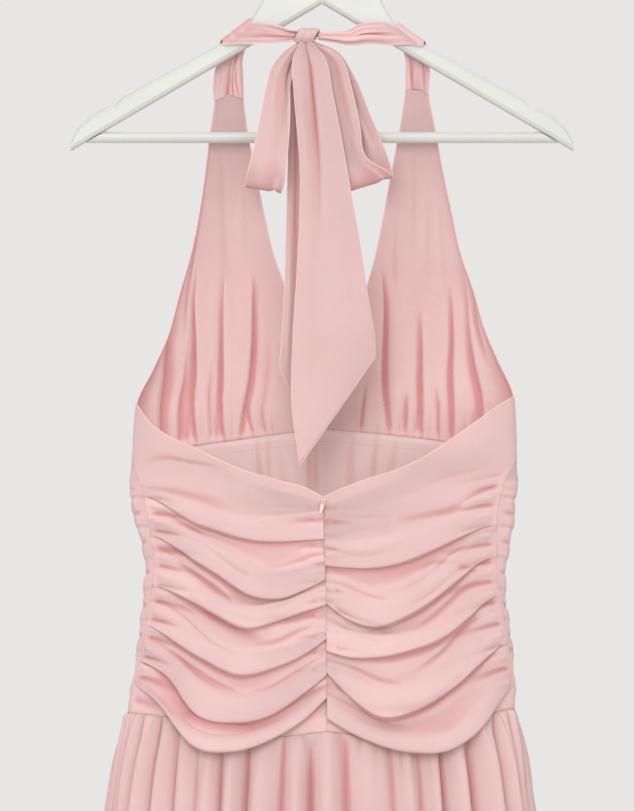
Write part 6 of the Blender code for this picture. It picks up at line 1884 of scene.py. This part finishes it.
@dataclass
class Zip:
    """The centre back zip: a woven tape with its coil, a slider with a bail, and a pull tab that swings from it."""

    wardrobe: Wardrobe
    tape_width: float = 0.020
    tape_wall: float = 0.0006
    tape_behind: float = 0.00147
    coil_pitch: float = 0.00105
    coil_length: float = 0.0021
    coil_radius: float = 0.00034
    pin: tuple[float, float, float] = (0.0011, -0.0311, -0.5595)
    slider_half: tuple[float, float, float] = (0.0024, 0.0011, 0.0040)
    bail_radius: float = 0.00030
    pull_length: float = 0.0125
    pull_half_width: float = 0.00165
    pull_wall: float = 0.0008
    pull_lean: float = 14.0
    eye_radius: float = 0.00072
    eye_slot: float = 0.0030

    def line(self, drop: Array) -> Array:
        """The zip's line down the back's middle, at the given drops."""
        return ring_points(drop, np.full_like(drop, -np.pi / 2))

    def tape(self) -> None:
        """The tape: its middle line moved behind the panels, and a straight row across at each place."""
        drop = np.linspace(BACK_TOP[-1].left + 0.001, BACK_WAIST[-1].left - 0.002, 120)
        line = self.line(drop)
        line[:, 1] += self.tape_behind
        across = np.linspace(-0.5, 0.5, 12) * self.tape_width
        points = line[:, None, :] + across[None, :, None] * np.array([1.0, 0.0, 0.0])
        made = cloth_object("zip_tape_woven", points, wall=self.tape_wall)
        dress_piece(made, self.wardrobe.tape, "zip_tape")

    def coil(self) -> None:
        """The coil: a row of short cross threads down the tape's face."""
        count = int((BACK_WAIST[-1].left - BACK_TOP[-1].left - 0.012) / self.coil_pitch)
        drop = BACK_TOP[-1].left + 0.010 + np.arange(count) * self.coil_pitch
        middles = self.line(drop)
        middles[:, 1] += self.tape_behind - self.tape_wall / 2 - self.coil_radius * 0.6
        ahead = np.tile([1.0, 0.0, 0.0], (count, 1))
        ahead[:, 2] = np.where(np.arange(count) % 2 == 0, 0.16, -0.16)
        ahead /= np.linalg.norm(ahead, axis=1, keepdims=True)
        out = np.tile([0.0, -1.0, 0.0], (count, 1))
        made = new_object("zip_coil", *seed_parts(middles, ahead, out, self.coil_length, self.coil_radius))
        dress_piece(made, self.wardrobe.tape)

    def slider(self) -> None:
        """The slider's body, a rounded wedge that narrows downwards, and its bail as one arch of wire.

        Ring at height h: x = half width * sign(cos t) |cos t|^0.5, y the same with sin t, both * (1 - h^6)^0.5.
        """
        x0, y0, z0 = self.pin
        wide, deep, high = self.slider_half
        height = np.sin(np.linspace(-np.pi / 2, np.pi / 2, 18)[1:-1])
        turn = np.linspace(0, 2 * np.pi, 24, endpoint=False)
        size = np.sqrt(1 - height[:, None] ** 6)
        narrow = 1 - 0.16 * (1 - height[:, None]) / 2 - 0.10 * np.exp(-((height[:, None] + 0.1) / 0.35) ** 2)
        x = x0 + wide * size * narrow * np.sign(np.cos(turn)) * np.abs(np.cos(turn)) ** 0.5
        y = y0 + 0.0024 + deep * size * np.sign(np.sin(turn)) * np.abs(np.sin(turn)) ** 0.5
        z = z0 - 0.001 + high * height[:, None] + 0 * x
        points = np.stack([x, y, z], axis=2)
        count, around, _ = points.shape
        index = np.arange(count * around).reshape(count, around)
        after = np.roll(index, -1, axis=1)
        quads = np.stack([index[:-1], after[:-1], after[1:], index[1:]], axis=2).reshape(-1, 4)
        poles = np.array([[x0, y0 + 0.0024, z0 - 0.001 - high], [x0, y0 + 0.0024, z0 - 0.001 + high]])
        low = np.stack([np.full(around, count * around), after[0], index[0]], axis=1)
        top = np.stack([np.full(around, count * around + 1), index[-1], after[-1]], axis=1)
        body = (
            np.vstack([points.reshape(-1, 3), poles]),
            np.vstack([quads[:, :3], quads[:, [0, 2, 3]], low, top]),
        )
        knots = np.array([(1.5, 2.5), (0.2, 2.5), (-0.75, 1.9), (-1.0, 1.1), (-0.7, 0.35), (0.0, -0.03), (1.5, 0.05)]) / 1000
        arch = through(np.linspace(0, 6, 40), np.arange(7), knots)
        path = np.stack([np.full(40, x0), y0 + arch[:, 0], z0 + arch[:, 1]], axis=1)
        made = new_object("zip_slider_metal", *joined([body, tube_parts(path, self.bail_radius, 8)]))
        dress_piece(made, self.wardrobe.zip_metal, "zip_slider")

    def pull(self) -> None:
        """The pull tab: a plate between a round eye and a long drop, thickened and rounded.

        Eye = (r sin t, r cos t), its lower half drawn down into an upright slot that clears the bail. Drop = (half width sin(t) (0.55 + 0.45 f), top - length f), f = (1 - cos t) / 2.
        """
        turn = np.linspace(0, 2 * np.pi, 56, endpoint=False)[None, :]
        part = np.linspace(0, 1, 7)[:, None]
        fall = (1 - np.cos(turn)) / 2
        eye_z = self.eye_radius * np.cos(turn) - self.eye_slot * np.clip(-np.cos(turn), 0, 1)
        eye = np.stack([self.eye_radius * np.sin(turn), eye_z], axis=-1)
        drop_x = self.pull_half_width * np.sin(turn) * (0.72 + 0.28 * np.sin(np.pi * np.clip(fall * 1.2, 0, 1)))
        drop_z = 0.00115 - (self.pull_length + 0.00115) * fall
        lean = np.radians(self.pull_lean)
        edge_x = np.cos(lean) * drop_x + np.sin(lean) * drop_z
        edge_z = np.cos(lean) * drop_z - np.sin(lean) * drop_x
        flat = eye * (1 - part[..., None]) + np.stack([edge_x, edge_z], axis=-1) * part[..., None]
        x = self.pin[0] + flat[..., 0]
        z = self.pin[2] + flat[..., 1]
        points = np.stack([x, np.full_like(x, self.pin[1]), z], axis=2)
        count, around, _ = points.shape
        index = np.arange(count * around).reshape(count, around)
        after = np.roll(index, -1, axis=1)
        faces = np.stack([index[:-1], after[:-1], after[1:], index[1:]], axis=2).reshape(-1, 4)
        made = new_object("zip_pull_metal", points.reshape(-1, 3), faces)
        solid = made.modifiers.new("wall", "SOLIDIFY")
        solid.thickness = self.pull_wall
        solid.offset = 0
        rounding = made.modifiers.new("rounding", "BEVEL")
        rounding.width = 0.00025
        rounding.segments = 2
        rounding.limit_method = "ANGLE"
        dress_piece(made, self.wardrobe.zip_metal, "zip_pull", PULL)

    def build(self) -> None:
        """Make the zip's pieces."""
        self.tape()
        self.coil()
        self.slider()
        self.pull()


@dataclass
class Sewing:
    """Rolled edges and rows of stitches, each kind one joined mesh."""

    wardrobe: Wardrobe
    edge_radius: float = 0.00055
    hem_radius: float = 0.0011
    stitch_length: float = 0.0020
    stitch_pitch: float = 0.0031
    stitch_radius: float = 0.00022
    stand: float = 0.00045

    def rolled(self, name: str, paths: Sequence[Array], radius: float) -> None:
        """Rolled edges along these paths, as one piece."""
        made = new_object(name, *joined([tube_parts(path, radius, 7) for path in paths]))
        dress_piece(made, self.wardrobe.chiffon)

    def row(self, path: Array, out: Array) -> tuple[Array, Array]:
        """A row of stitches along a path, standing a little out of the cloth.

        Args:
            path: the seam's points.
            out: the unit direction out of the cloth at each of them.

        Returns:
            Points, and triangles.
        """
        length = lengths_along(path)
        count = max(int(length[-1] / self.stitch_pitch), 2)
        places = (np.arange(count) + 0.5) * length[-1] / count
        middles = np.stack([np.interp(places, length, path[:, axis]) for axis in range(3)], axis=1)
        ends = np.stack([np.interp(places + 0.0004, length, path[:, axis]) for axis in range(3)], axis=1)
        ahead = ends - middles
        ahead /= np.maximum(np.linalg.norm(ahead, axis=1, keepdims=True), 1e-9)
        away = np.stack([np.interp(places, length, out[:, axis]) for axis in range(3)], axis=1)
        away -= ahead * (away * ahead).sum(axis=1, keepdims=True)
        away /= np.maximum(np.linalg.norm(away, axis=1, keepdims=True), 1e-9)
        return seed_parts(middles + away * self.stand, ahead, away, self.stitch_length, self.stitch_radius)

    def build(self, straps: dict, bow: dict, cups: dict, midriff: dict, skirt: dict) -> None:
        """Sew the pieces together.

        Args:
            straps: the strap grids by side.
            bow: the bow's grids by node.
            cups: the cup grids by side.
            midriff: the midriff's grids by node.
            skirt: the skirt's grids by node.
        """
        self.rolled("cup_rolled_edges", [cups[side][:, end] for side in Side for end in (0, -1)], self.edge_radius)
        loops = [points[3:-3, end] for node, points in bow.items() if "loop" in node for end in (0, -1)]
        tails = [points[3:, end] for node, points in bow.items() if "tail" in node for end in (0, -1)]
        tails += [points[-1] for node, points in bow.items() if "tail" in node]
        self.rolled("bow_rolled_edges", loops + tails, self.edge_radius * 0.8)
        self.rolled("strap_rolled_edges", [straps[side][1:-1, end] for side in Side for end in (0, -1)], self.edge_radius * 0.8)
        self.rolled("back_top_rolled_edge", [midriff[f"back_panel_{side.value}"][0] for side in Side], self.edge_radius)
        hems = [points[-1] for points in skirt.values()]
        self.rolled("skirt_rolled_hem", hems, self.hem_radius)
        rows = []
        for side in Side:
            cup = cups[side]
            toward_viewer = np.tile([0.0, -1.0, 0.0], (cup.shape[1], 1))
            rows.append(self.row(cup[1], toward_viewer))
            rows.append(self.row(cup[1], -toward_viewer))
        lining = midriff["lining"]
        inward = np.where(normals_of(lining)[2][:, [1]] > 0, -normals_of(lining)[2], normals_of(lining)[2])
        rows.append(self.row(lining[2, 6:-6], inward[6:-6]))
        front = midriff["bodice_front"]
        outward = normals_of(front)[2]
        outward = np.where(outward[:, [1]] < 0, -outward, outward)
        rows.append(self.row(front[2], outward))
        for node, points in skirt.items():
            away = normals_of(points)[1]
            sign = 1 if node == "skirt_front" else -1
            away = np.where(away[:, [1]] * sign < 0, -away, away)
            rows.append(self.row(points[1], away))
            above = points[-3]
            rows.append(self.row(above, np.where(normals_of(points)[-3][:, [1]] * sign < 0, -normals_of(points)[-3], normals_of(points)[-3])))
        made = new_object("seam_stitches", *joined(rows))
        dress_piece(made, self.wardrobe.thread)


@dataclass
class Studio:
    """A pale floor, soft light and a camera level with the dress's middle, as in the photo."""

    centre: tuple[float, float, float] = (-0.0044, -0.012, -0.4750)
    view_height: float = 0.7137
    distance: float = 6.0
    rise: float = -1.5
    sensor: float = 24.0
    floor_drop: float = 1.56
    backdrop: tuple[float, float, float] = (0.800, 0.793, 0.776)
    room_light: float = 0.72

    def build(self) -> None:
        """Place the camera, the lights, the pale world and the floor."""
        scene = bpy.context.scene
        scene.view_settings.view_transform = "Standard"
        world = bpy.data.worlds.new("pale_room")
        world.use_nodes = True
        tree = world.node_tree
        pale = tree.nodes["Background"]
        pale.inputs["Color"].default_value = (*self.backdrop, 1.0)
        soft = tree.nodes.new("ShaderNodeBackground")
        soft.inputs["Color"].default_value = (1.0, 0.99, 0.985, 1.0)
        soft.inputs["Strength"].default_value = self.room_light
        path = tree.nodes.new("ShaderNodeLightPath")
        mix = tree.nodes.new("ShaderNodeMixShader")
        tree.links.new(path.outputs["Is Camera Ray"], mix.inputs[0])
        tree.links.new(soft.outputs["Background"], mix.inputs[1])
        tree.links.new(pale.outputs["Background"], mix.inputs[2])
        tree.links.new(mix.outputs["Shader"], tree.nodes["World Output"].inputs["Surface"])
        scene.world = world
        camera = bpy.data.cameras.new("studio_camera")
        camera.sensor_width = self.sensor
        camera.lens = self.sensor * self.distance / self.view_height
        camera.clip_start, camera.clip_end = 0.05, 50.0
        stand = bpy.data.objects.new("studio_camera", camera)
        rise = np.radians(self.rise)
        x, y, z = self.centre
        stand.location = (x, y - self.distance * np.cos(rise), z + self.distance * np.sin(rise))
        stand.rotation_euler = (np.pi / 2 - rise, 0.0, 0.0)
        scene.collection.objects.link(stand)
        scene.camera = stand
        self.lamp("key_light", (-0.40, -2.5, 0.45), 1.2, 27.0)
        self.lamp("top_light", (-0.3, -1.1, 1.5), 0.9, 7.0)
        self.lamp("fill_light", (0.9, -2.6, -0.2), 1.6, 8.0)
        self.lamp("rear_light", (0.4, 2.2, 1.2), 2.0, 10.0)
        across = np.linspace(-4.0, 4.0, 5)
        grid = np.stack(np.meshgrid(across, across), axis=2)
        points = np.concatenate([grid, np.full((5, 5, 1), -self.floor_drop)], axis=2)
        floor = new_object("studio_floor", points.reshape(-1, 3), grid_faces(5, 5)[:, ::-1])
        nodes = Nodes("pale_floor")
        speckle = nodes.add("ShaderNodeTexNoise", Scale=6.0, Detail=3.0)
        nodes.join(nodes.place(False, (1.0, 1.0, 1.0)), speckle.inputs["Vector"])
        nodes.join(nodes.mixed(speckle.outputs["Fac"], (0.78, 0.775, 0.76), (0.80, 0.795, 0.78)), nodes.shader.inputs["Base Color"])
        nodes.shader.inputs["Roughness"].default_value = 0.8
        floor.data.materials.append(nodes.material)

    def lamp(self, name: str, place: tuple[float, float, float], size: float, power: float) -> None:
        """A square soft light aimed at the dress's middle."""
        light = bpy.data.lights.new(name, "AREA")
        light.size = size
        light.energy = power
        lamp = bpy.data.objects.new(name, light)
        lamp.location = place
        aim = np.array(self.centre) - np.array(place)
        level = float(np.hypot(aim[0], aim[1]))
        lamp.rotation_euler = (np.pi / 2 + np.arctan2(aim[2], level), 0.0, np.arctan2(aim[1], aim[0]) - np.pi / 2)
        bpy.context.scene.collection.objects.link(lamp)


def main() -> None:
    """Build the dress on its hanger, then the studio, and note the sizes."""
    logging.basicConfig(level=logging.INFO, format="%(message)s")
    wardrobe = Wardrobe()
    Hanger(wardrobe).build()
    straps = HalterStraps(wardrobe).build()
    bow = Bow(wardrobe).build()
    cups = Cups(wardrobe).build()
    midriff = Midriff(wardrobe).build()
    skirt = Skirt(wardrobe).build()
    Zip(wardrobe).build()
    Sewing(wardrobe).build(straps, bow, cups, midriff, skirt)
    Studio().build()


if __name__ == "__main__":
    main()
